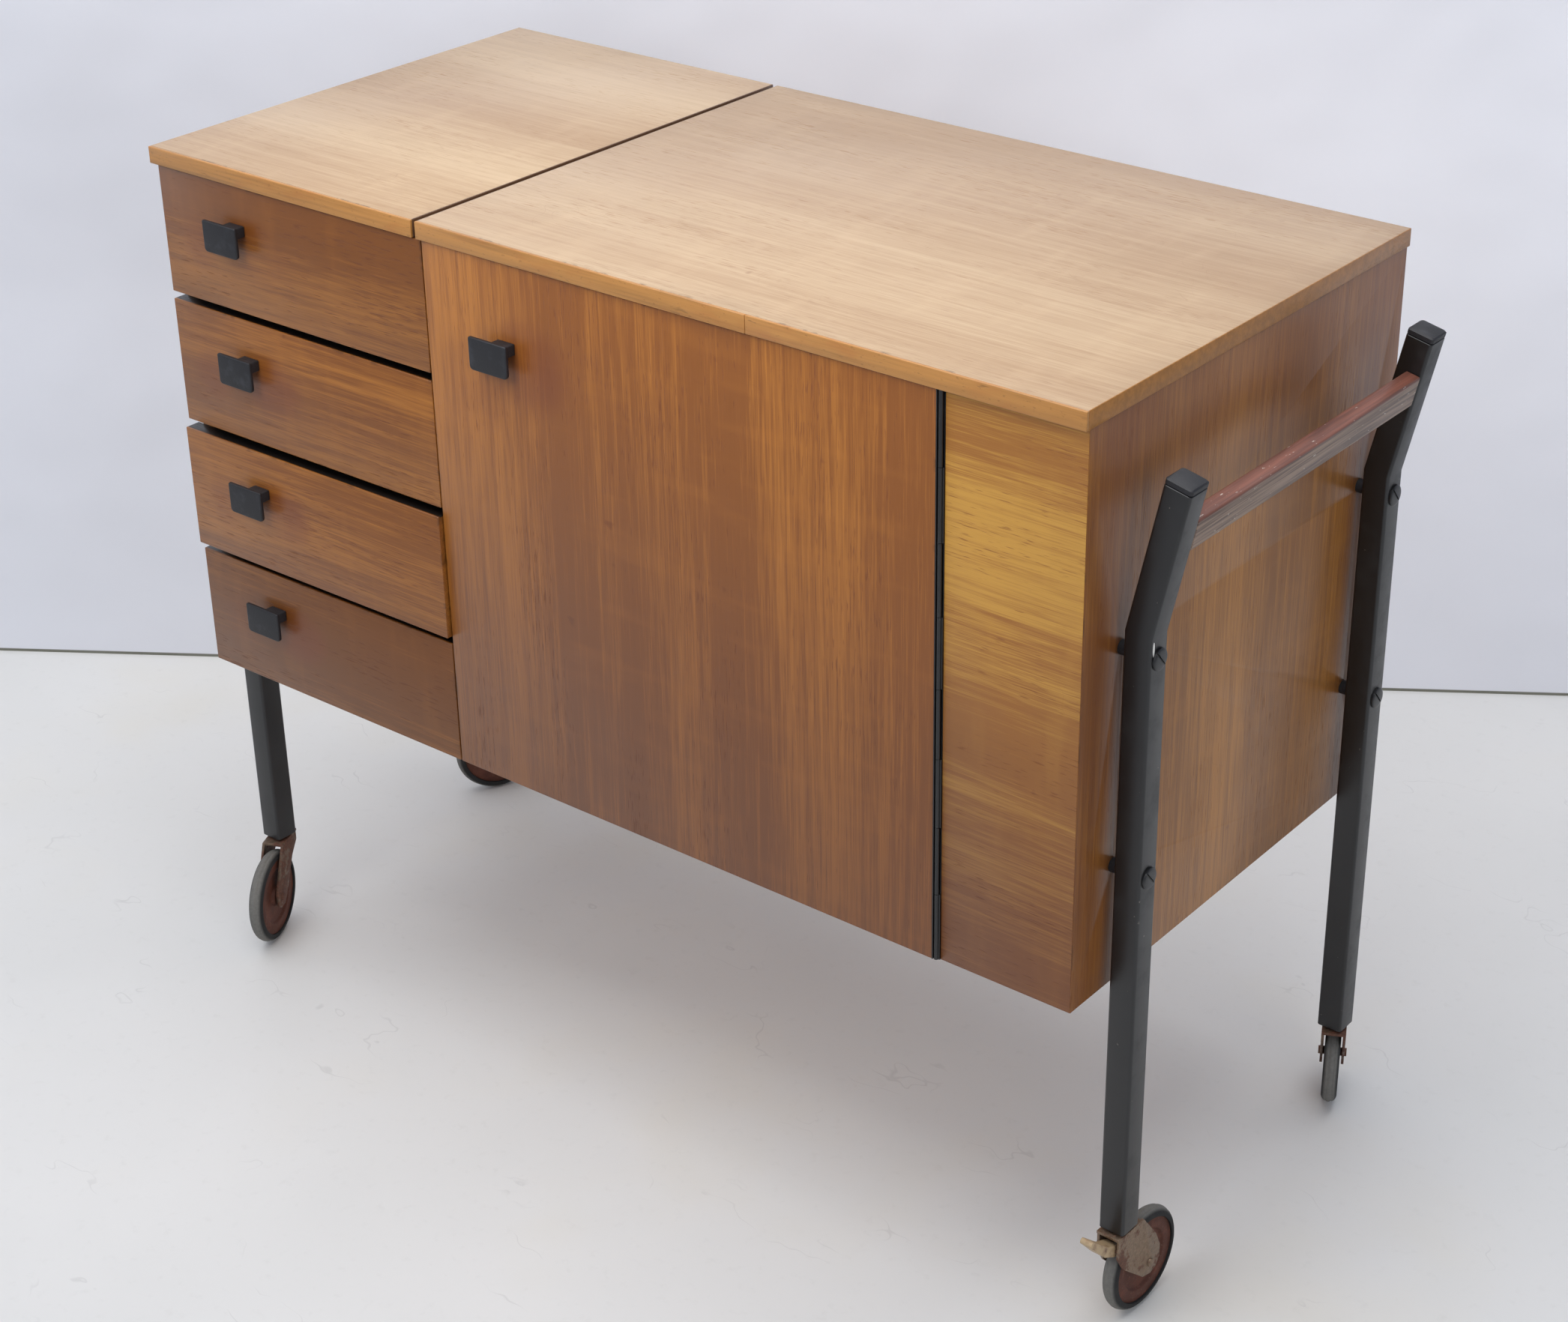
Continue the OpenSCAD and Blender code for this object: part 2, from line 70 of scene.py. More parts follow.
def linear(red, green, blue):
    """A colour given as it looks on screen, 0 to 255, as the shader's linear values."""
    return tuple((c / 255 / 12.92) if c <= 10 else ((c / 255 + 0.055) / 1.055) ** 2.4
                 for c in (red, green, blue))


# ---------------------------------------------------------------- settings


def length(name, description, default):
    """A size setting, in metres."""
    return FloatProperty(name=name, description=description, default=default, min=0.0,
                         subtype="DISTANCE", unit="LENGTH", precision=4)


def colour(name, description, red, green, blue):
    """A colour setting, given as it looks on screen."""
    return FloatVectorProperty(name=name, description=description, subtype="COLOR", size=3,
                               min=0.0, max=1.0, default=linear(red, green, blue))


class CabinetSizes(bpy.types.PropertyGroup):
    """Sizes of the details that the frame leaves to the finish."""
    board_edge: length("Board edge", "Radius on the edges of the veneered boards", 0.0007)
    tube_corner: length("Tube corner", "Corner radius of the square tube", 0.0028)
    bar_edge: length("Bar edge", "Radius on the edges of the push bar", 0.0018)
    pull_edge: length("Pull edge", "Radius on the edges of a pull's plate", 0.0013)
    cap_groove: length("Cap groove", "Height of the groove under each end cap", 0.0012)
    sheet_edge: length("Sheet edge", "Radius on the pressed steel of the casters", 0.0006)


class CabinetColours(bpy.types.PropertyGroup):
    """Base colours of the finishes."""
    top_light: colour("Top light", "Light bands of the veneer on the top", 189, 162, 128)
    top_dark: colour("Top dark", "Dark bands of the veneer on the top", 164, 132, 98)
    front_light: colour("Front light", "Light bands of the veneer on the fronts", 166, 105, 40)
    front_dark: colour("Front dark", "Dark bands of the veneer on the fronts", 128, 75, 27)
    gold_light: colour("Gold light", "Light bands of the fixed panel", 192, 142, 58)
    gold_dark: colour("Gold dark", "Dark bands of the fixed panel", 155, 100, 37)
    side_light: colour("Side light", "Light bands of the veneer on the sides", 173, 116, 50)
    side_dark: colour("Side dark", "Dark bands of the veneer on the sides", 133, 85, 37)
    lipping: colour("Lipping", "Solid strip along the front edge of the top", 177, 124, 63)
    inside: colour("Inside", "Plain wood of the drawer boxes and the inside", 186, 140, 96)
    bar: colour("Bar", "Stained wood of the push bar", 116, 70, 55)
    paint: colour("Paint", "Black paint of the posts", 18, 18, 19)
    plastic: colour("Plastic", "Black plastic of the pulls and caps", 30, 30, 33)
    zinc: colour("Zinc", "Dull steel of the casters", 141, 120, 100)
    rust: colour("Rust", "Rust on the steel of the casters", 96, 58, 42)
    wheel: colour("Wheel", "Red-brown paint of the wheel discs", 98, 57, 43)
    rubber: colour("Rubber", "Black rubber of the tyres", 40, 40, 40)
    bone: colour("Bone", "Yellowed plastic of the brake lever", 182, 158, 123)


# ---------------------------------------------------------------- shader arithmetic


class Wire:
    """A value in a material's node tree; arithmetic on it adds Math nodes."""

    def __init__(self, look, socket):
        self.look = look
        self.socket = socket

    def _math(self, operation, first, second=0.0):
        node = self.look.node("ShaderNodeMath", {"operation": operation}, {0: first, 1: second})
        return node.wire(0)

    def __add__(self, other):
        return self._math("ADD", self, other)

    def __radd__(self, other):
        return self._math("ADD", other, self)

    def __sub__(self, other):
        return self._math("SUBTRACT", self, other)

    def __rsub__(self, other):
        return self._math("SUBTRACT", other, self)

    def __mul__(self, other):
        return self._math("MULTIPLY", self, other)

    def __rmul__(self, other):
        return self._math("MULTIPLY", other, self)

    def __truediv__(self, other):
        return self._math("DIVIDE", self, other)

    def __abs__(self):
        return self._math("ABSOLUTE", self)

    def lower(self, other):
        return self._math("MINIMUM", self, other)

    def power(self, exponent):
        return self._math("POWER", self, exponent)


class Made:
    """A node that has been added to a material."""

    def __init__(self, look, node):
        self.look = look
        self.node = node

    def wire(self, output):
        return Wire(self.look, self.node.outputs[output])


class Look:
    """One material, with the methods that its recipe is written in."""

    def __init__(self, name, metallic=0.0, specular=0.5, coat=0.0):
        self.material = bpy.data.materials.new(name)
        self.material.use_nodes = True
        self.tree = self.material.node_tree
        self.shader = self.tree.nodes["Principled BSDF"]
        self.shader.inputs["Metallic"].default_value = metallic
        self.shader.inputs["Specular IOR Level"].default_value = specular
        self.shader.inputs["Coat Weight"].default_value = coat
        self.shader.inputs["Coat Roughness"].default_value = 0.25

    def node(self, kind, settings=None, sockets=None):
        """Adds a node: its settings come first, then the values or links of its sockets."""
        made = self.tree.nodes.new(kind)
        for key, value in (settings or {}).items():
            if key == "stops":
                self._stops(made.color_ramp, value)
            else:
                setattr(made, key, value)
        for key, value in (sockets or {}).items():
            self._plug(made.inputs[key], value)
        return Made(self, made)

    def _stops(self, ramp, stops):
        while len(ramp.elements) < len(stops):
            ramp.elements.new(0.5)
        for element, (place, shade) in zip(ramp.elements, stops):
            element.position = place
            element.color = (*shade, 1.0)

    def _plug(self, socket, value):
        if isinstance(value, Wire):
            self.tree.links.new(value.socket, socket)
        elif socket.type == "RGBA":
            socket.default_value = (*value, 1.0)
        else:
            socket.default_value = value

    def places(self):
        """The object coordinates, in metres, as a vector and as three values."""
        spot = self.node("ShaderNodeTexCoord").wire("Object")
        parts = self.node("ShaderNodeSeparateXYZ", None, {0: spot})
        return spot, [parts.wire(k) for k in range(3)]

    def vector(self, x, y, z):
        return self.node("ShaderNodeCombineXYZ", None, {0: x, 1: y, 2: z}).wire(0)

    def noise(self, vector, scale=1.0, detail=2.0, rough=0.5, distortion=0.0):
        return self.node("ShaderNodeTexNoise", {"noise_dimensions": "3D"},
                         {"Vector": vector, "Scale": scale, "Detail": detail, "Roughness": rough,
                          "Distortion": distortion}).wire(0)

    def step(self, value, low, high):
        """0 below low and 1 above high, with a smooth climb between them; low may be the greater."""
        return self.node("ShaderNodeMapRange", {"interpolation_type": "SMOOTHSTEP", "clamp": True},
                         {"Value": value, "From Min": low, "From Max": high}).wire(0)

    def ramp(self, value, stops):
        return self.node("ShaderNodeValToRGB", {"stops": stops}, {"Fac": value}).wire(0)

    def mix(self, share, first, second, blend="MIX"):
        return self.node("ShaderNodeMix", {"data_type": "RGBA", "blend_type": blend, "clamp_factor": True},
                         {0: share, 6: first, 7: second}).wire(2)

    def bump(self, height, distance, strength=1.0, normal=None):
        sockets = {"Height": height, "Distance": distance, "Strength": strength}
        if normal:
            sockets["Normal"] = normal
        return self.node("ShaderNodeBump", None, sockets).wire(0)

    def surface(self, colour_wire, rough, normal=None, metallic=None):
        self._plug(self.shader.inputs["Base Color"], colour_wire)
        self._plug(self.shader.inputs["Roughness"], rough)
        if normal:
            self._plug(self.shader.inputs["Normal"], normal)
        if metallic is not None:
            self._plug(self.shader.inputs["Metallic"], metallic)
        return self.material


def shade(colour_value, factor):
    """A colour made darker or lighter by a factor."""
    return tuple(min(1.0, c * factor) for c in colour_value)


# ---------------------------------------------------------------- finishes


def grain_vector(look, parts, grain, along, across, seed):
    """Object coordinates squeezed along the grain, so that noise on them runs in streaks."""
    scaled = [part * (along if axis == grain else across) + seed * (axis + 1)
              for axis, part in enumerate(parts)]
    return look.vector(*scaled)


def veneer(name, grain, light, dark, seed, stains_and_shadows=(), box=None, rough=0.36, bands=7.0, calm=1.0, dashes=1.0,
           streaks=1.0, shaded_seam=None, shaded_top_edge=False, fade=None, end_tone=None):
    """Open-pored veneer, with bands, streaks, short dark pores, stain marks and worn edges, and with
    painted light: wavy bands of painted sheen and, where asked, painted shadows and painted shade. The
    painted shade fall-off, darker towards the bottom, is the height where it ends, the height where it
    begins and the share of each colour that is left below."""
    look = Look(name, coat=0.12)
    spot, parts = look.places()
    drift = look.noise(spot, 1.7, 2.0) - 0.5
    wander = [part + drift * 0.03 for part in parts]
    broad = look.noise(grain_vector(look, wander, grain, 0.7, bands, seed), 1.0, 2.0, 0.5)
    streak = look.noise(grain_vector(look, wander, grain, 4.0, 170.0, seed), 1.0, 3.0, 0.6)
    fibre = look.noise(grain_vector(look, parts, grain, 18.0, 900.0, seed), 1.0, 2.0, 0.6)
    pore = look.noise(grain_vector(look, parts, grain, 55.0, 760.0, seed + 3), 1.0, 1.0, 0.5)
    cluster = look.noise(grain_vector(look, wander, grain, 5.0, 26.0, seed + 5), 1.0, 2.0)
    sheen_ripple = look.noise(grain_vector(look, wander, grain, 42.0, 9.0, seed + 9), 1.0, 2.0)
    smudge = look.noise(spot, 6.0, 3.0, 0.6)
    fine = (streak - 0.5) * (0.42 * streaks) + (fibre - 0.5) * (0.42 * streaks)
    tone = (broad - 0.5) * (0.9 * calm) + fine + 0.5
    red = (dark[0] * 0.62, dark[1] * 0.45, dark[2] * 0.36)
    base = look.ramp(tone, [(0.15, shade(dark, 0.92)), (0.42, dark),
                            (0.62, light), (0.9, shade(light, 1.08))])
    # painted sheen: lighter wavy bands across the grain stand in for the shimmer of light on the lacquered
    # veneer
    base = look.mix(look.step(sheen_ripple, 0.5, 0.75) * 0.12, base, shade(light, 1.18))
    dash = look.step(pore + (cluster - 0.5) * 0.5, 0.64, 0.76)
    base = look.mix(dash * (0.5 * dashes), base, red)
    fleck = look.noise(spot, 38.0, 2.0)
    base = look.mix(look.step(fleck, 0.74, 0.82) * 0.5, base, red)
    base = look.mix(look.step(smudge, 0.56, 0.8) * 0.18, base, shade(dark, 0.6))
    # stain marks by the pulls, and painted shadows where a caller passes them (the side panel's post
    # shadows)
    for place, radius, depth in stains_and_shadows:
        base = look.mix(round_mask(look, parts, place, radius) * look.step(smudge, 0.2, 0.6) * depth,
                        base, linear(116, 58, 28))
    # painted shade: the colour is darkened towards the bottom of the board, for the light falling off
    # towards the floor
    if fade:
        bottom, top, left_over = fade
        base = look.mix(look.step(parts[2] + drift * 0.25, top, bottom), base, left_over, "MULTIPLY")
    if box:
        worn = edge_mask(look, parts, box, 0.003)
        grime = edge_mask(look, parts, box, 0.030)
        rag = look.noise(spot, 60.0, 3.0)
        base = look.mix(grime * look.step(smudge, 0.4, 0.75) * 0.25, base, shade(dark, 0.6))
        base = look.mix(worn * look.step(rag, 0.56, 0.66) * 0.6, base, shade(dark, 0.4))
    if end_tone:
        side_wood = look.mix(look.step(streak, 0.3, 0.7), shade(end_tone, 0.72), shade(end_tone, 0.95))
        base = look.mix(look.step(parts[0], box[1].x - 0.0012, box[1].x - 0.0004), base, side_wood)
    # painted shade: behind its first millimetre or two, a front's top edge is made near black, for the deep
    # shadow in the gap between the fronts
    if shaded_top_edge:
        low, high = box
        inner = look.step(parts[1], low.y + 0.0012, low.y + 0.0024)
        upper = look.step(parts[2], high.z - 0.0012, high.z - 0.0006)
        base = look.mix(inner * upper, base, linear(16, 13, 11))
    # painted shade: the board's end at the joint between top and lid is darkened red-brown, for the shade
    # in the narrow gap
    if shaded_seam:
        cut = look.step(abs(parts[0] - shaded_seam), 0.0012, 0.0008)
        base = look.mix(cut, base, shade(red, 0.5))
    scratch = look.noise(look.vector(parts[0] * 7.0 + parts[2] * 20.0, parts[1] * 22.0 + parts[0] * 13.0,
                                     parts[2] * 7.0 - parts[0] * 15.0), 1.0, 1.0)
    line = look.step(abs(scratch - 0.5), 0.0025, 0.0) * look.step(smudge, 0.56, 0.62)
    base = look.mix(line * 0.25, base, red)
    rub = (smudge - 0.5) * 0.22 + dash * 0.15 + (fibre - 0.5) * 0.08 + rough
    height = fibre * 0.4 + streak * 0.3 - dash
    return look.surface(base, rub, look.bump(height, 0.00018, 0.5))


def round_mask(look, parts, place, radius):
    """1 near a place, falling smoothly to 0 at a distance from it that may differ along the three axes."""
    total = None
    for part, middle, size in zip(parts, place, radius):
        offset = (part - middle) / size
        square = offset * offset
        total = square if total is None else total + square
    return look.step(total, 1.0, 0.05)


def edge_mask(look, parts, box, width):
    """1 along the outer edges of a board's two widest faces, 0 further in than width."""
    low, high = box
    spans = [high[k] - low[k] for k in range(3)]
    thin = spans.index(min(spans))
    nearest = None
    for axis in range(3):
        if axis == thin:
            continue
        middle = (low[axis] + high[axis]) / 2
        inward = spans[axis] / 2 - abs(parts[axis] - middle)
        nearest = inward if nearest is None else nearest.lower(inward)
    return look.step(nearest, width, 0.0)


def lipping_wood(name, tone):
    """Solid strip: golden wood with fine grain, dark speckles and knocks along its edges."""
    look = Look(name, coat=0.1)
    _, parts = look.places()
    streak = look.noise(grain_vector(look, parts, 0, 7.0, 240.0, 2.0), 1.0, 3.0, 0.6)
    speck = look.noise(look.vector(parts[0] * 190.0, parts[1] * 500.0, parts[2] * 420.0), 1.0, 2.0)
    knock = look.noise(look.vector(parts[0] * 30.0, parts[1] * 90.0, parts[2] * 160.0), 1.0, 3.0, 0.7)
    base = look.ramp(streak, [(0.25, shade(tone, 0.66)), (0.5, tone), (0.8, shade(tone, 1.22))])
    blotch = look.noise(look.vector(parts[0] * 14.0, parts[1] * 40.0, parts[2] * 40.0), 1.0, 3.0, 0.6)
    base = look.mix(look.step(blotch, 0.5, 0.72) * 0.45, base, shade(linear(176, 104, 48), 0.9))
    base = look.mix(look.step(speck, 0.62, 0.74) * 0.4, base, shade(tone, 0.4))
    base = look.mix(look.step(knock, 0.66, 0.76) * 0.5, base, shade(tone, 0.35))
    height = streak - look.step(knock, 0.62, 0.75)
    return look.surface(base, 0.38 + streak * 0.15, look.bump(height, 0.0003, 0.5))


def plain_wood(name, grain, tone, seed, rough=0.6):
    """Plain boards inside: pale grain, a little dust and darker corners."""
    look = Look(name)
    spot, parts = look.places()
    broad = look.noise(grain_vector(look, parts, grain, 1.5, 14.0, seed), 1.0, 3.0)
    fine = look.noise(grain_vector(look, parts, grain, 16.0, 380.0, seed), 1.0, 3.0, 0.6)
    dust = look.noise(spot, 9.0, 4.0, 0.6)
    base = look.ramp(broad * 0.5 + fine * 0.5,
                     [(0.3, shade(tone, 0.72)), (0.5, tone), (0.72, shade(tone, 1.16))])
    base = look.mix(look.step(dust, 0.5, 0.8) * 0.3, base, shade(tone, 0.55))
    return look.surface(base, rough + (dust - 0.5) * 0.2, look.bump(fine, 0.0003, 0.4))


def black_board(name):
    """Black stained edges that show in the gaps, with dust."""
    look = Look(name, specular=0.3)
    spot, parts = look.places()
    fine = look.noise(grain_vector(look, parts, 0, 20.0, 300.0, 1.0), 1.0, 3.0)
    dust = look.noise(spot, 24.0, 4.0, 0.6)
    base = look.ramp(fine, [(0.3, linear(10, 9, 8)), (0.7, linear(26, 24, 22))])
    base = look.mix(look.step(dust, 0.6, 0.85) * 0.4, base, linear(62, 56, 50))
    return look.surface(base, 0.72, look.bump(fine, 0.0003, 0.3))


def black_paint(name, tone, chip=None):
    """Satin black enamel on steel, with fine orange peel, scuffs, specks of dust and one bare chip."""
    look = Look(name, specular=0.55, coat=0.12)
    spot, parts = look.places()
    peel = look.noise(spot, 900.0, 2.0)
    scuff = look.noise(spot, 26.0, 4.0, 0.65)
    dust = look.noise(spot, 210.0, 2.0)
    base = look.mix(look.step(scuff, 0.48, 0.78) * 0.4, tone, linear(44, 44, 43))
    base = look.mix(look.step(dust, 0.74, 0.80) * 0.6, base, linear(124, 118, 108))
    rough = look.step(scuff, 0.45, 0.75) * 0.18 + 0.36
    if chip:
        bare = look.step(round_mask(look, parts, *chip), 0.15, 0.3)
        base = look.mix(bare, base, linear(232, 230, 222))
    return look.surface(base, rough, look.bump(peel, 0.00006, 0.35))


def black_plastic(name, tone):
    """Moulded black plastic with a leathery grain, rubbed shiny on high spots, and dust."""
    look = Look(name, specular=0.45)
    spot, _ = look.places()
    grainy = look.noise(spot, 520.0, 3.0, 0.6)
    rub = look.noise(spot, 60.0, 3.0, 0.6)
    base = look.mix(look.step(rub, 0.5, 0.8) * 0.4, tone, linear(58, 60, 68))
    base = look.mix(look.step(grainy, 0.70, 0.80) * 0.4, base, linear(96, 92, 86))
    return look.surface(base, 0.5 - look.step(rub, 0.5, 0.8) * 0.15, look.bump(grainy, 0.00025, 0.4))


def bar_wood(name, tone, box, tilt):
    """Red-brown stained bar, worn through to grey-brown on its outer face and specked with old paint."""
    look = Look(name, coat=0.05)
    _, parts = look.places()
    low, high = box
    outward = (parts[0] - high.x) * math.cos(tilt) - (parts[2] - (low.z + high.z) / 2) * math.sin(tilt)
    upward = (parts[0] - high.x) * math.sin(tilt) + (parts[2] - high.z) * math.cos(tilt)
    fine = look.noise(grain_vector(look, parts, 1, 9.0, 420.0, 4.0), 1.0, 3.0, 0.6)
    broad = look.noise(grain_vector(look, parts, 1, 4.0, 60.0, 6.0), 1.0, 3.0, 0.6)
    speck = look.noise(look.vector(parts[0] * 420.0, parts[1] * 130.0, parts[2] * 420.0), 1.0, 2.0)
    base = look.ramp(fine, [(0.3, shade(tone, 0.6)), (0.5, tone), (0.75, shade(tone, 1.45))])
    base = look.mix(look.step(broad, 0.5, 0.7) * 0.5, base, linear(120, 88, 78))
    side = look.step(outward, -0.0055, -0.0040) * look.step(upward, -0.0045, -0.0060)
    grey = look.mix(look.step(fine, 0.35, 0.65), linear(92, 74, 62), linear(150, 128, 108))
    base = look.mix(side * (0.55 + broad * 0.7), base, grey)
    base = look.mix(look.step(broad, 0.40, 0.28) * 0.5, base, linear(56, 28, 24))
    base = look.mix(look.step(speck, 0.69, 0.74) * 0.8, base, linear(206, 196, 184))
    return look.surface(base, (broad - 0.5) * 0.3 + 0.45, look.bump(fine + broad, 0.0004, 0.5))


def worn_steel(name, zinc, rust, amount):
    """Dull plated steel, freckled and patched with rust."""
    look = Look(name, metallic=0.0)
    spot, _ = look.places()
    patch = look.noise(spot, 42.0, 5.0, 0.65)
    freckle = look.noise(spot, 360.0, 3.0, 0.6)
    rusty = look.step(patch + freckle * 0.3, 0.72 - amount * 0.2, 0.82 - amount * 0.2)
    base = look.ramp(freckle, [(0.3, shade(zinc, 0.7)), (0.6, zinc), (0.8, shade(zinc, 1.3))])
    crust = look.ramp(freckle, [(0.3, shade(rust, 0.5)), (0.7, shade(rust, 1.3))])
    base = look.mix(rusty * 0.9, base, crust)
    raised = look.bump(freckle + rusty, 0.0002, 0.6)
    return look.surface(base, 0.42 + rusty * 0.35, raised, 0.75 - rusty * 0.7)


def wheel_paint(name, tone):
    """Red-brown painted disc with dust in its steps and dark scuffs."""
    look = Look(name, specular=0.35)
    spot, _ = look.places()
    patch = look.noise(spot, 55.0, 4.0, 0.65)
    fine = look.noise(spot, 420.0, 2.0)
    base = look.mix(look.step(patch, 0.42, 0.7) * 0.65, shade(tone, 0.75), shade(tone, 1.55))
    base = look.mix(look.step(fine, 0.62, 0.75) * 0.5, base, linear(128, 104, 88))
    return look.surface(base, 0.6 + patch * 0.15, look.bump(fine + patch, 0.00025, 0.5))


def rubber(name, tone, centre, axis, radius):
    """Old tyre rubber: grey and dusty where it rolls, black on the walls."""
    look = Look(name, specular=0.3)
    spot, parts = look.places()
    across = None
    away = []
    for part, middle, share in zip(parts, centre, axis):
        offset = part - middle
        away.append(offset)
        term = offset * share
        across = term if across is None else across + term
    square = away[0] * away[0] + away[1] * away[1] + away[2] * away[2] - across * across
    rolled = look.step(square.power(0.5), radius - 0.0040, radius - 0.0008)
    fine = look.noise(spot, 300.0, 4.0, 0.65)
    patch = look.noise(spot, 40.0, 3.0)
    base = look.mix(look.step(patch, 0.4, 0.8) * 0.4, tone, linear(66, 64, 60))
    base = look.mix(rolled * (0.45 + fine * 0.6), base, linear(128, 126, 120))
    base = look.mix(look.step(fine, 0.66, 0.78) * 0.4, base, linear(96, 84, 70))
    return look.surface(base, 0.7 + fine * 0.15, look.bump(fine, 0.0004, 0.5))


def old_plastic(name, tone):
    """Yellowed bone-coloured plastic with grime."""
    look = Look(name, specular=0.4)
    spot, _ = look.places()
    grime = look.noise(spot, 110.0, 4.0, 0.65)
    base = look.mix(look.step(grime, 0.42, 0.72) * 0.7, tone, linear(120, 84, 62))
    base = look.mix(look.step(grime, 0.62, 0.72) * 0.5, base, linear(70, 52, 42))
    return look.surface(base, 0.5, look.bump(grime, 0.0003, 0.5))


def floor_paint(name):
    """Pale painted floor with faint clouds, scuffs, crumbs and yellowed patches."""
    look = Look(name, specular=0.3)
    spot, parts = look.places()
    cloud = look.noise(spot, 1.1, 4.0, 0.55)
    fine = look.noise(spot, 70.0, 4.0, 0.6)
    yellow = look.noise(spot, 2.4, 3.0, 0.6)
    crumb = look.noise(spot, 42.0, 1.0)
    drawn_out = look.vector(parts[0] * 4.0 + parts[1] * 11.0, parts[1] * 5.0 - parts[0] * 6.0, 0.0)
    scuff = look.noise(drawn_out, 1.0, 3.0)
    line = look.step(abs(scuff - 0.5), 0.006, 0.0) * look.step(look.noise(spot, 9.0, 2.0), 0.56, 0.66)
    base = look.ramp(cloud, [(0.3, linear(216, 216, 213)), (0.7, linear(228, 227, 224))])
    base = look.mix(look.step(yellow, 0.5, 0.75) * 0.35, base, linear(222, 216, 200))
    base = look.mix(look.step(fine, 0.55, 0.8) * 0.15, base, linear(188, 186, 180))
    base = look.mix(line * 0.22, base, linear(160, 158, 156))
    base = look.mix(look.step(crumb, 0.83, 0.86) * 0.5, base, linear(140, 132, 120))
    return look.surface(base, cloud * 0.12 + 0.4, look.bump(fine, 0.0002, 0.25))


def paper(name):
    """Pale backdrop with soft creases and a dark line where it meets the floor. Its normal points away
    from the cabinet, and it is clear when it is seen from there."""
    look = Look(name, specular=0.2)
    spot, parts = look.places()
    cloud = look.noise(spot, 1.4, 3.0, 0.5)
    crease = look.noise(spot, 3.2, 2.0, 0.5)
    base = look.ramp(cloud, [(0.3, linear(234, 235, 240)), (0.7, linear(244, 245, 250))])
    base = look.mix(look.step(parts[2], 0.0045, 0.003), base, linear(126, 126, 114))
    look.surface(base, 0.85, look.bump(crease, 0.05, 0.35))
    behind = 1.0 - look.node("ShaderNodeNewGeometry").wire("Backfacing")
    clear = look.node("ShaderNodeBsdfTransparent").wire(0)
    sheet = Wire(look, look.shader.outputs[0])
    one_sided = look.node("ShaderNodeMixShader", None, {0: behind, 1: sheet, 2: clear}).wire(0)
    look.tree.links.new(one_sided.socket, look.tree.nodes["Material Output"].inputs["Surface"])
    return look.material


# ---------------------------------------------------------------- making pieces


def mode(kind):
    """Goes into a mode, if the active object isn't in it."""
    if bpy.context.object and bpy.context.object.mode != kind:
        bpy.ops.object.mode_set(mode=kind)


def activate(piece):
    """Makes a piece the only one that is selected, and the active one."""
    mode("OBJECT")
    bpy.ops.object.select_all(action="DESELECT")
    piece.select_set(True)
    bpy.context.view_layer.objects.active = piece


def pick(piece, kind, test):
    """Goes into edit mode with only those faces, edges or vertices selected that pass the test.
    The test is given the middle of the element, and a face's normal."""
    activate(piece)
    mesh = piece.data
    for group in (mesh.vertices, mesh.edges, mesh.polygons):
        for element in group:
            element.select = False
    if kind == "FACE":
        for face in mesh.polygons:
            face.select = test(face.center, face.normal)
    elif kind == "EDGE":
        for edge in mesh.edges:
            ends = [mesh.vertices[k].co for k in edge.vertices]
            edge.select = test((ends[0] + ends[1]) / 2, (ends[1] - ends[0]).normalized())
    else:
        for vertex in mesh.vertices:
            vertex.select = test(vertex.co, vertex.normal)
    bpy.context.tool_settings.mesh_select_mode = (kind == "VERT", kind == "EDGE", kind == "FACE")
    mode("EDIT")


def extrude(step):
    """Extrudes what is selected, by a step."""
    bpy.ops.mesh.extrude_region_move(TRANSFORM_OT_translate={"value": tuple(step)})


def settle(piece, name):
    """Ends the modelling of a piece: its place goes into its mesh and its faces look outwards."""
    mode("OBJECT")
    activate(piece)
    piece.name = name
    piece.data.name = name
    bpy.ops.object.transform_apply(location=True, rotation=True, scale=True)
    mode("EDIT")
    bpy.ops.mesh.select_all(action="SELECT")
    bpy.ops.mesh.remove_doubles(threshold=0.000005)
    bpy.ops.mesh.normals_make_consistent(inside=False)
    mode("OBJECT")
    return piece


def bevelled(piece, width, segments=2, angle=40.0):
    """Rounds the sharp edges of a piece."""
    activate(piece)
    edge = piece.modifiers.new("Edge", "BEVEL")
    edge.width = width
    edge.segments = segments
    edge.limit_method = "ANGLE"
    edge.angle_limit = math.radians(angle)
    edge.use_clamp_overlap = True
    bpy.ops.object.modifier_apply(modifier=edge.name)
    return piece


def smooth(piece, angle=35.0):
    """Shades a piece smooth, except over edges sharper than an angle."""
    activate(piece)
    bpy.ops.object.shade_smooth_by_angle(angle=math.radians(angle))
    return piece


def copied(node, name):
    """A copy of a CAD node as a clean mesh: its triangles are merged into flat faces."""
    source = NODES[node]
    piece = bpy.data.objects.new(name, source.data.copy())
    bpy.context.scene.collection.objects.link(piece)
    piece.data.materials.clear()
    activate(piece)
    mode("EDIT")
    bpy.ops.mesh.select_all(action="SELECT")
    bpy.ops.mesh.remove_doubles(threshold=0.00001)
    bpy.ops.mesh.dissolve_limited(angle_limit=math.radians(0.3))
    mode("OBJECT")
    return piece


def dress(piece, material, body, slot, *nodes):
    """Gives a finished piece its material and its body, and lets it stand for its CAD nodes."""
    mode("OBJECT")
    piece.data.materials.clear()
    piece.data.materials.append(material)
    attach(piece, body)
    if nodes:
        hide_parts(*nodes)
    return piece


def repaint(node, material):
    """A new material for a CAD node that stays."""
    mesh = NODES[node].data
    mesh.materials.clear()
    mesh.materials.append(material)


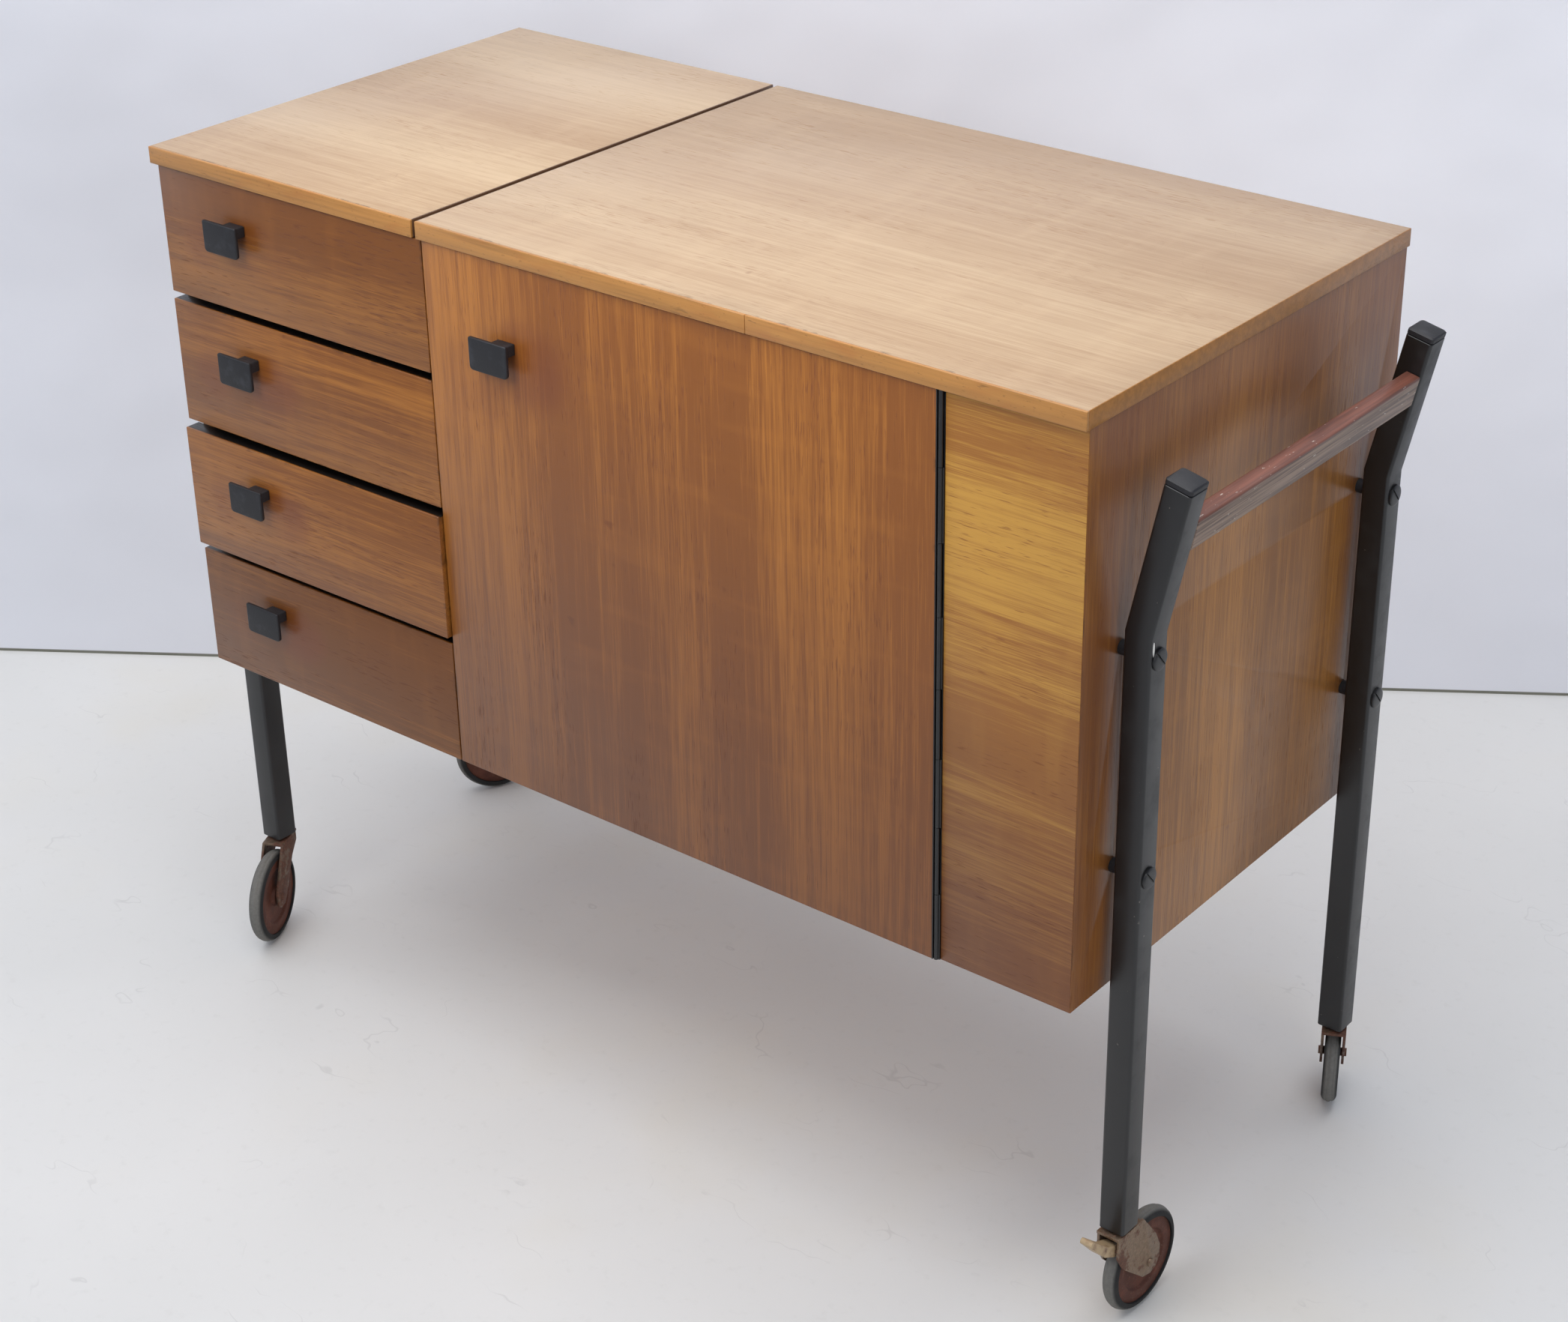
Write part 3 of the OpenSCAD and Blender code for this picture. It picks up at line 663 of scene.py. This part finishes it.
def joined(pieces, name):
    """Several pieces made into one."""
    activate(pieces[0])
    for piece in pieces:
        piece.select_set(True)
    bpy.context.view_layer.objects.active = pieces[0]
    if len(pieces) > 1:
        bpy.ops.object.join()
    return settle(bpy.context.object, name)


def twin(piece, matrix):
    """A copy of a piece with its own mesh, moved by a matrix."""
    other = bpy.data.objects.new(piece.name, piece.data.copy())
    other.data.transform(matrix)
    bpy.context.scene.collection.objects.link(other)
    return other


def board(node, material, body, slot, edge):
    """A board with its edges eased."""
    piece = bevelled(copied(node, node + "_board"), edge, 2)
    smooth(piece, 30)
    return dress(piece, material, body, slot, node)


def settings():
    """The sizes and the colours that the panel shows."""
    return bpy.context.scene.cabinet_sizes, bpy.context.scene.cabinet_colours


def span(node):
    """The lowest and highest corners of a CAD node's box."""
    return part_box(node)


# ---------------------------------------------------------------- operators


class CABINET_OT_stage(bpy.types.Operator):
    """Make the camera, the lights, the floor and the backdrop"""
    bl_idname = "cabinet.stage"
    bl_label = "Stage"

    def execute(self, context):
        camera_data = bpy.data.cameras.new("camera")
        camera_data.lens = CAMERA_LENS
        camera_data.shift_x, camera_data.shift_y = CAMERA_SHIFT
        camera = bpy.data.objects.new("camera", camera_data)
        camera.location = CAMERA_PLACE
        camera.rotation_euler = Euler([math.radians(turn) for turn in CAMERA_TURN])
        context.scene.collection.objects.link(camera)
        context.scene.camera = camera

        mode("OBJECT")
        bpy.ops.object.select_all(action="DESELECT")
        bpy.ops.mesh.primitive_plane_add(size=STAGE_SIZE, location=(0, 0, 0))
        floor = settle(context.object, "floor")
        floor.data.materials.append(floor_paint("floor paint"))
        bpy.ops.object.select_all(action="DESELECT")
        bpy.ops.mesh.primitive_plane_add(size=STAGE_SIZE, location=(*BACKDROP_FOOT, STAGE_SIZE / 2),
                                         rotation=(math.radians(90), 0, BACKDROP_TURN))
        wall = settle(context.object, "backdrop")
        wall.data.materials.append(paper("backdrop paper"))

        down = (0, 0, 0)
        self.light(context, "ceiling", (-0.2, -0.2, 3.1), down, 3.2, 84.0)
        near = self.light(context, "near lamp", (0.0, -1.4, 1.9), (math.radians(56), 0, 0), 1.0, 4.0)
        near.spread = math.radians(90)
        self.light(context, "left", (-2.8, -0.3, 1.1), (math.radians(80), 0, math.radians(-90)), 2.0, 30.0)
        self.light(context, "right", (2.7, -1.5, 1.6), (math.radians(75), 0, math.radians(60)), 1.6, 14.0)
        context.scene.view_settings.view_transform = "Standard"
        context.scene.view_settings.look = "None"
        world = bpy.data.worlds.new("soft light")
        context.scene.world = world
        world.use_nodes = True
        background = world.node_tree.nodes["Background"]
        background.inputs["Color"].default_value = (*linear(220, 229, 250), 1.0)
        background.inputs["Strength"].default_value = 0.45
        return {"FINISHED"}

    @staticmethod
    def light(context, name, place, turn, size, power):
        data = bpy.data.lights.new(name, "AREA")
        data.shape = "SQUARE"
        data.size = size
        data.energy = power
        lamp = bpy.data.objects.new(name, data)
        lamp.location = place
        lamp.rotation_euler = Euler(turn)
        context.scene.collection.objects.link(lamp)
        return data


class CABINET_OT_top(bpy.types.Operator):
    """Make the left top, the lid and the strips along their front edges"""
    bl_idname = "cabinet.top"
    bl_label = "Top and lid"

    def execute(self, context):
        sizes, colours = settings()
        seams = {"left_top": span("left_top")[1].x, "lid": span("lid")[0].x}
        for node, body, seed in (("left_top", "cabinet", 1.0), ("lid", "lid", 2.6)):
            material = veneer(node + " veneer", 0, colours.top_light, colours.top_dark, seed,
                              box=span(node), rough=0.34, bands=5.0, calm=0.7, dashes=0.6, streaks=0.6,
                              shaded_seam=seams[node], end_tone=colours.side_light if node == "lid" else None)
            board(node, material, body, "veneer", sizes.board_edge)
        strip = lipping_wood("lipping", colours.lipping)
        board("left_top_lipping", strip, "cabinet", "lipping", sizes.board_edge)
        board("lid_lipping", strip, "lid", "lipping", sizes.board_edge)
        return {"FINISHED"}


class CABINET_OT_carcass(bpy.types.Operator):
    """Make the outer panels and the boards inside"""
    bl_idname = "cabinet.carcass"
    bl_label = "Carcass"

    def execute(self, context):
        sizes, colours = settings()
        low, high = span("right_side_panel")
        # painted shadows: the first two marks stand in for the shadows of the front and rear posts on the
        # side panel; the third darkens the top middle
        painted_side_shade = (((high.x, low.y, high.z), (0.1, 0.12, 1.6), 0.5),
                  ((high.x, high.y, high.z), (0.1, 0.10, 1.2), 0.5),
                  ((high.x, (low.y + high.y) / 2, high.z), (0.1, 0.22, 0.16), 0.35))
        side = veneer("side veneer", 2, colours.side_light, colours.side_dark, 4.2, painted_side_shade, (low, high),
                      rough=0.4, bands=6.0, calm=0.6, dashes=0.5)
        far_side = veneer("far side veneer", 2, colours.side_light, colours.side_dark, 9.4, rough=0.4,
                          bands=6.0, calm=0.6, dashes=0.5, box=span("left_side_panel"))
        fixed = veneer("fixed panel veneer", 0, colours.gold_light, colours.gold_dark, 7.7,
                       rough=0.42, bands=13.0, calm=0.8, dashes=1.2, fade=self.fade("fixed_front_panel"))
        board("right_side_panel", side, "cabinet", "veneer", sizes.board_edge)
        board("left_side_panel", far_side, "cabinet", "veneer", sizes.board_edge)
        board("fixed_front_panel", fixed, "cabinet", "veneer", sizes.board_edge)
        dark = black_board("black boards")
        for node in ("divider_panel", "hinge_partition", "drawer_rails"):
            board(node, dark, "cabinet", "black_board", sizes.board_edge)
        across = plain_wood("inner boards", 0, colours.inside, 3.0)
        deep = plain_wood("inner strips", 1, shade(colours.inside, 0.9), 5.0)
        back = plain_wood("back plywood", 2, shade(colours.side_light, 0.85), 8.0, 0.5)
        board("bottom_panel", across, "cabinet", "inner_wood", sizes.board_edge)
        board("cupboard_shelf", across, "cabinet", "inner_wood", sizes.board_edge)
        board("back_panel", back, "cabinet", "inner_wood", sizes.board_edge)
        for node in ("drawer_runners", "shelf_cleats"):
            board(node, deep, "cabinet", "inner_wood", sizes.board_edge)
        return {"FINISHED"}

    @staticmethod
    def fade(node):
        """Painted shade: the darkening of the fixed panel towards its foot, for the light falling off
        towards the floor.
        """
        low, high = span(node)
        return low.z + 0.02, high.z - 0.12, (0.50, 0.40, 0.55)


class CABINET_OT_drawers(bpy.types.Operator):
    """Make the drawer fronts, their boxes and the thread tray"""
    bl_idname = "cabinet.drawers"
    bl_label = "Drawers"

    def execute(self, context):
        sizes, colours = settings()
        inside = plain_wood("drawer box wood", 1, colours.inside, 12.0)
        # painted shade: each drawer gets the one front veneer made lighter or darker, the bottom drawer
        # darkest, for the light falling off towards the floor
        drawer_shading = (0.88, 0.97, 0.97, 0.76)
        for number in range(1, 5):
            body = f"drawer_{number}"
            pull_low, pull_high = span(body + "_pull")
            stain = (((pull_high.x + 0.012, pull_high.y, pull_low.z + 0.006), (0.050, 0.05, 0.036), 0.75),
                     ((pull_low.x - 0.022, pull_high.y, pull_low.z), (0.03, 0.05, 0.03), 0.35))
            material = veneer(body + " veneer", 0, shade(colours.front_light, drawer_shading[number - 1]),
                              shade(colours.front_dark, drawer_shading[number - 1]), 10.0 + 3.7 * number,
                              stain, span(body + "_front"), bands=9.0, shaded_top_edge=True)
            board(body + "_front", material, body, "veneer", sizes.board_edge)
            board(body + "_box", inside, body, "inner_wood", sizes.board_edge)
        tray = plain_wood("tray wood", 0, shade(colours.inside, 1.1), 15.0)
        board("thread_tray", tray, "thread_tray", "inner_wood", sizes.board_edge)
        return {"FINISHED"}


class CABINET_OT_door(bpy.types.Operator):
    """Make the door, its hinge, catch and strike"""
    bl_idname = "cabinet.door"
    bl_label = "Door"

    def execute(self, context):
        sizes, colours = settings()
        pull_low, pull_high = span("door_pull")
        stain = (((pull_high.x + 0.014, pull_high.y, pull_low.z + 0.01), (0.055, 0.05, 0.05), 0.7),
                 ((pull_low.x - 0.01, pull_high.y, pull_low.z - 0.02), (0.05, 0.05, 0.05), 0.4))
        low, high = span("door")
        # painted light and shade: the door's veneer is made brighter, and the fall-off darkens it towards
        # its foot, for light that is strongest at the top
        fade = (low.z - 0.05, high.z, (0.60, 0.54, 0.56))
        light, dark = shade(colours.front_light, 1.14), shade(colours.front_dark, 1.2)
        material = veneer("door veneer", 2, light, dark, 31.0, stain, (low, high), bands=8.0, calm=0.7,
                          fade=fade)
        board("door", material, "door", "veneer", sizes.board_edge)
        paint = black_paint("hinge paint", colours.paint)
        repaint("door_hinge_leaf", paint)
        repaint("door_hinge_frame_leaf", paint)
        steel = worn_steel("hinge steel", colours.zinc, colours.rust, 0.1)
        for node in ("lid_hinge_leaves", "lid_hinge_frame_leaves", "door_strike"):
            repaint(node, steel)
        repaint("door_catch", black_plastic("catch plastic", colours.plastic))
        return {"FINISHED"}


class CABINET_OT_pulls(bpy.types.Operator):
    """Make the five pulls: a softened plate on a neck along its top edge"""
    bl_idname = "cabinet.pulls"
    bl_label = "Pulls"

    def execute(self, context):
        sizes, colours = settings()
        plastic = black_plastic("pull plastic", colours.plastic)
        bodies = {f"drawer_{k}_pull": f"drawer_{k}" for k in range(1, 5)}
        bodies["door_pull"] = "door"
        for node, body in bodies.items():
            low, high = span(node)
            plate = self.plate(low, high, sizes.pull_edge)
            neck = self.neck(low, high)
            piece = smooth(joined([plate, neck], node + "_handle"), 40)
            dress(piece, plastic, body, "black_plastic", node)
        return {"FINISHED"}

    @staticmethod
    def plate(low, high, edge):
        """A plate with round lower corners, bowed a little to the front along its middle."""
        thick = 0.004
        middle = ((low.x + high.x) / 2, low.y + thick / 2, (low.z + high.z) / 2)
        piece = block(middle, (high.x - low.x, thick, high.z - low.z))
        pick(piece, "EDGE", lambda co, way: abs(way.y) > 0.9 and co.z < middle[2])
        bpy.ops.mesh.bevel(offset=0.004, segments=5, affect="EDGES")
        pick(piece, "EDGE", lambda co, way: abs(way.y) > 0.9 and co.z > high.z - 0.001)
        bpy.ops.mesh.bevel(offset=0.0015, segments=3, affect="EDGES")
        mode("OBJECT")
        return bevelled(piece, edge, 4, 50)

    @staticmethod
    def neck(low, high):
        """The block that joins one end of the plate's top to the front."""
        wide, deep, tall = 0.0195, high.y - low.y - 0.002, 0.0105
        middle = (high.x - 0.0005 - wide / 2, high.y - deep / 2, high.z - 0.0005 - tall / 2)
        return bevelled(block(middle, (wide, deep, tall)), 0.0012, 3)


def block(middle, size):
    """A block about a point."""
    mode("OBJECT")
    bpy.ops.object.select_all(action="DESELECT")
    bpy.ops.mesh.primitive_cube_add(size=1, location=middle)
    piece = bpy.context.object
    piece.scale = size
    bpy.ops.object.transform_apply(location=True, rotation=True, scale=True)
    return piece


def rounded_square(middle, half, corner):
    """A flat square with round corners, ready to be extruded."""
    mode("OBJECT")
    bpy.ops.object.select_all(action="DESELECT")
    bpy.ops.mesh.primitive_plane_add(size=2 * half, location=middle)
    piece = bpy.context.object
    bpy.ops.object.transform_apply(location=True, rotation=True, scale=True)
    mode("EDIT")
    bpy.ops.mesh.select_all(action="SELECT")
    bpy.ops.mesh.bevel(offset=corner, segments=4, affect="VERTICES")
    bpy.ops.mesh.select_all(action="SELECT")
    return piece


def turn_selected(angle, centre):
    """Turns the selection about the Y axis; with no window the operator's sign is reversed."""
    bpy.ops.transform.rotate(value=angle, orient_axis="Y", center_override=tuple(centre))


class CABINET_OT_posts(bpy.types.Operator):
    """Make the bent posts, the straight legs, their caps, the bolts and the push bar"""
    bl_idname = "cabinet.posts"
    bl_label = "Posts and push bar"

    half: FloatProperty(name="Half width", default=0.0125, unit="LENGTH")
    bend: FloatProperty(name="Bend", default=math.radians(12.5), subtype="ANGLE")
    kink: FloatProperty(name="Height of the bend", default=0.679, unit="LENGTH")
    upper: FloatProperty(name="Length above the bend", default=0.132, unit="LENGTH")
    cap: FloatProperty(name="Cap height", default=0.006, unit="LENGTH")

    def execute(self, context):
        sizes, colours = settings()
        paint = black_paint("post paint", colours.paint)
        low, high = span("post_front_right")
        chip = ((low.x + 2 * self.half, low.y + 0.0045, self.kink - 0.010), (0.01, 0.0016, 0.0075))
        chipped = black_paint("chipped post paint", colours.paint, chip)
        plastic = black_plastic("cap plastic", colours.plastic)
        caps = []
        for node, bent in (("post_front_right", True), ("post_rear_right", True),
                           ("leg_front_left", False), ("leg_rear_left", False)):
            low, high = span(node)
            foot = Vector((low.x + self.half, (low.y + high.y) / 2, low.z))
            tube = rounded_square(foot, self.half, sizes.tube_corner)
            if bent:
                end, way = self.rise_bent(foot)
            else:
                way = Vector((0, 0, 1))
                end = Vector((foot.x, foot.y, high.z))
                extrude((0, 0, high.z - low.z))
            tube = smooth(bevelled(settle(tube, node + "_tube"), 0.0004, 1, 60), 40)
            dress(tube, chipped if node == "post_front_right" else paint, "cabinet", "black_paint", node)
            caps.append(self.end_cap(end, way, sizes))
        dress(smooth(joined(caps, "end_caps"), 40), plastic, "cabinet", "black_plastic", "post_caps")
        repaint("post_spacers", plastic)
        self.bolts(paint)
        bar = bevelled(copied("push_bar", "push_bar_wood"), sizes.bar_edge, 4)
        wood = bar_wood("bar wood", colours.bar, span("push_bar"), self.bend)
        dress(smooth(bar, 40), wood, "cabinet", "bar_wood", "push_bar")
        return {"FINISHED"}

    def rise_bent(self, foot):
        """Extrudes the selected square up to the bend and out along the tilt."""
        knee = Vector((foot.x, foot.y, self.kink))
        way = Vector((math.sin(self.bend), 0, math.cos(self.bend)))
        extrude((0, 0, self.kink - foot.z))
        turn_selected(-self.bend / 2, knee)
        extrude(way * self.upper)
        turn_selected(-self.bend / 2, knee + way * self.upper)
        return knee + way * self.upper, way

    def end_cap(self, end, way, sizes):
        """A plug whose head is parted from the tube by a groove."""
        groove = sizes.cap_groove
        piece = rounded_square((0, 0, 0), self.half, sizes.tube_corner)
        bpy.ops.transform.resize(value=(0.90, 0.90, 1))
        extrude((0, 0, groove))
        bpy.ops.transform.resize(value=(1 / 0.90, 1 / 0.90, 1))
        extrude((0, 0, self.cap - groove - 0.0012))
        extrude((0, 0, 0.0012))
        bpy.ops.transform.resize(value=(0.90, 0.90, 1))
        mode("OBJECT")
        tilt = Vector((0, 0, 1)).rotation_difference(way).to_matrix().to_4x4()
        piece.data.transform(Matrix.Translation(end) @ tilt)
        return piece

    def bolts(self, paint):
        """Eight slotted bolt heads, made once and copied."""
        low, high = span("frame_bolts")
        radius = 0.0095
        head = self.bolt_head(radius)
        places = []
        for post, sign in (("post_front_right", 1), ("post_rear_right", 1),
                           ("leg_front_left", -1), ("leg_rear_left", -1)):
            post_low, post_high = span(post)
            x = post_low.x + 2 * self.half if sign > 0 else post_low.x
            y = (post_low.y + post_high.y) / 2
            places += [(x, y, low.z + radius, sign), (x, y, high.z - radius, sign)]
        heads = []
        for x, y, z, sign in places:
            turn = Matrix.Rotation(math.radians(90 * sign), 4, "Y")
            heads.append(twin(head, Matrix.Translation((x, y, z)) @ turn))
        bpy.data.objects.remove(head)
        dress(smooth(joined(heads, "bolt_heads"), 30), paint, "cabinet", "black_paint", "frame_bolts")

    @staticmethod
    def bolt_head(radius):
        """A low dome built from inset rings, with a slot cut across it."""
        bpy.ops.object.select_all(action="DESELECT")
        rim = 0.0016
        bpy.ops.mesh.primitive_cylinder_add(vertices=48, radius=radius, depth=rim, location=(0, 0, rim / 2))
        piece = bpy.context.object
        bpy.ops.object.transform_apply(location=True, rotation=True, scale=True)
        pick(piece, "FACE", lambda co, way: way.z > 0.9)
        for inset, lift in ((0.0006, 0.0005), (0.0016, 0.0003), (0.0026, 0.00018), (0.0026, 0.00006)):
            bpy.ops.mesh.inset(thickness=inset, depth=0)
            bpy.ops.transform.translate(value=(0, 0, lift))
        mode("OBJECT")
        bpy.ops.object.select_all(action="DESELECT")
        bpy.ops.mesh.primitive_cube_add(size=1, location=(0, 0, 0.0024))
        slot = bpy.context.object
        slot.scale = (0.03, 0.0018, 0.0022)
        slot.rotation_euler = (0, 0, math.radians(40))
        activate(piece)
        cut = piece.modifiers.new("Slot", "BOOLEAN")
        cut.operation = "DIFFERENCE"
        cut.object = slot
        bpy.ops.object.modifier_apply(modifier=cut.name)
        bpy.data.objects.remove(slot)
        return piece


class CABINET_OT_casters(bpy.types.Operator):
    """Make the forks, the wheel discs, the tyres and the brake lever"""
    bl_idname = "cabinet.casters"
    bl_label = "Casters"

    radius: FloatProperty(name="Wheel radius", default=0.049, unit="LENGTH")
    width: FloatProperty(name="Tyre width", default=0.015, unit="LENGTH")
    bed: FloatProperty(name="Tyre depth", default=0.008, unit="LENGTH")
    knee: FloatVectorProperty(name="Lever knee", default=(0.014, 0, 0.007), size=3, unit="LENGTH")
    tip: FloatVectorProperty(name="Lever tip", default=(0.034, 0, 0.027), size=3, unit="LENGTH")

    def execute(self, context):
        sizes, colours = settings()
        rusty = worn_steel("caster steel", shade(colours.zinc, 0.75), colours.rust, 0.75)
        grey = worn_steel("brake caster steel", colours.zinc, colours.rust, 0.35)
        paint = wheel_paint("wheel paint", colours.wheel)
        tyre = self.tyre()
        for corner in CORNERS:
            roll = JOINTS["roll_" + corner]
            centre, axis = Vector(roll["pos_m"]), Vector(roll["axis"]).normalized()
            turn = Vector((0, 1, 0)).rotation_difference(axis).to_matrix().to_4x4()
            place = Matrix.Translation(centre) @ turn
            black = rubber("tyre rubber " + corner, colours.rubber, centre, axis, self.radius)
            ring = smooth(settle(twin(tyre, place), "rubber_" + corner), 40)
            dress(ring, black, "roller_" + corner, "tyre", "tyre_" + corner)
            disc = smooth(bevelled(copied("wheel_" + corner, "disc_" + corner), 0.0005, 2, 35), 35)
            dress(disc, paint, "roller_" + corner, "wheel_paint", "wheel_" + corner)
            steel = grey if corner == "front_right" else rusty
            fork = bevelled(copied("fork_" + corner, "caster_" + corner), sizes.sheet_edge, 2, 50)
            fork = smooth(fork, 35)
            dress(fork, steel, "caster_" + corner, "worn_steel", "fork_" + corner)
        bpy.data.objects.remove(tyre)
        repaint("caster_stems", worn_steel("stem steel", shade(colours.zinc, 0.7), colours.rust, 0.5))
        self.lever(colours)
        return {"FINISHED"}

    def tyre(self):
        """A tyre about the Y axis: a half-round section, its crown grooved twice, spun full circle."""
        middle = self.radius - self.width / 2
        mode("OBJECT")
        bpy.ops.object.select_all(action="DESELECT")
        bpy.ops.mesh.primitive_circle_add(vertices=48, radius=self.width / 2, location=(middle, 0, 0),
                                          rotation=(math.radians(90), 0, 0))
        piece = bpy.context.object
        bpy.ops.object.transform_apply(location=True, rotation=True, scale=True)
        bed = self.radius - self.bed
        pick(piece, "VERT", lambda co, way: co.x < bed)
        bpy.ops.transform.resize(value=(0, 1, 1), center_override=(bed, 0, 0))
        groove = self.width * 0.16
        pick(piece, "VERT", lambda co, way: co.x > middle and abs(abs(co.z) - groove) < self.width * 0.035)
        bpy.ops.transform.translate(value=(-0.0006, 0, 0))
        pick(piece, "VERT", lambda co, way: True)
        bpy.ops.mesh.spin(steps=96, angle=math.tau, center=(0, 0, 0), axis=(0, 0, 1))
        piece = settle(piece, "tyre")
        piece.data.transform(Matrix.Rotation(math.radians(90), 4, "X"))
        return piece

    def lever(self, colours):
        """The brake lever: a round hub drawn out to a knee and on into a thinner tab that rises."""
        pivot = JOINTS["brake_pedal"]
        steer = JOINTS["roll_front_right"]
        centre = Vector(pivot["pos_m"])
        axis = Vector(steer["axis"]).normalized()
        out = Vector((0, 0, 1)).cross(axis).normalized()
        if (centre + out - Vector(steer["pos_m"])).length < (centre - out - Vector(steer["pos_m"])).length:
            out = -out
        bpy.ops.object.select_all(action="DESELECT")
        bpy.ops.mesh.primitive_cylinder_add(vertices=32, radius=0.0056, depth=0.013,
                                            rotation=(math.radians(90), 0, 0))
        piece = bpy.context.object
        bpy.ops.object.transform_apply(location=True, rotation=True, scale=True)
        knee, tip = Vector(self.knee), Vector(self.tip)
        pick(piece, "FACE", lambda co, way: abs(way.y) < 0.5 and way.dot(knee) > 0.1 * knee.length)
        extrude(knee)
        bpy.ops.transform.resize(value=(0.82, 1, 0.82), center_override=tuple(knee))
        extrude(tip - knee)
        bpy.ops.transform.resize(value=(0.61, 0.9, 0.61), center_override=tuple(tip))
        mode("OBJECT")
        settle(bevelled(piece, 0.0012, 3, 45), "brake_tab")
        side = Vector((0, 0, 1)).cross(out)
        turn = Matrix((out, side, Vector((0, 0, 1)))).transposed().to_4x4()
        piece.data.transform(Matrix.Translation(centre) @ turn)
        bone = old_plastic("lever plastic", colours.bone)
        dress(smooth(piece, 40), bone, "brake_lever", "lever_plastic", "brake_lever")


class CABINET_PT_panel(bpy.types.Panel):
    """Lists the operators and the settings in the sidebar"""
    bl_idname = "CABINET_PT_panel"
    bl_label = "Sewing Cabinet"
    bl_space_type = "VIEW_3D"
    bl_region_type = "UI"
    bl_category = "Cabinet"

    def draw(self, context):
        for operator in OPERATORS:
            self.layout.operator(operator.bl_idname)
        for group, kind in ((context.scene.cabinet_sizes, CabinetSizes),
                            (context.scene.cabinet_colours, CabinetColours)):
            for name in kind.__annotations__:
                self.layout.prop(group, name)


OPERATORS = (CABINET_OT_stage, CABINET_OT_top, CABINET_OT_carcass, CABINET_OT_drawers, CABINET_OT_door,
             CABINET_OT_pulls, CABINET_OT_posts, CABINET_OT_casters)
CLASSES = (CabinetSizes, CabinetColours, *OPERATORS, CABINET_PT_panel)


def register():
    for kind in CLASSES:
        bpy.utils.register_class(kind)
    bpy.types.Scene.cabinet_sizes = PointerProperty(type=CabinetSizes)
    bpy.types.Scene.cabinet_colours = PointerProperty(type=CabinetColours)


def unregister():
    del bpy.types.Scene.cabinet_colours
    del bpy.types.Scene.cabinet_sizes
    for kind in reversed(CLASSES):
        bpy.utils.unregister_class(kind)


def main():
    register()
    bpy.ops.cabinet.stage()
    bpy.ops.cabinet.top()
    bpy.ops.cabinet.carcass()
    bpy.ops.cabinet.drawers()
    bpy.ops.cabinet.door()
    bpy.ops.cabinet.pulls()
    bpy.ops.cabinet.posts()
    bpy.ops.cabinet.casters()


if __name__ == "__main__":
    main()
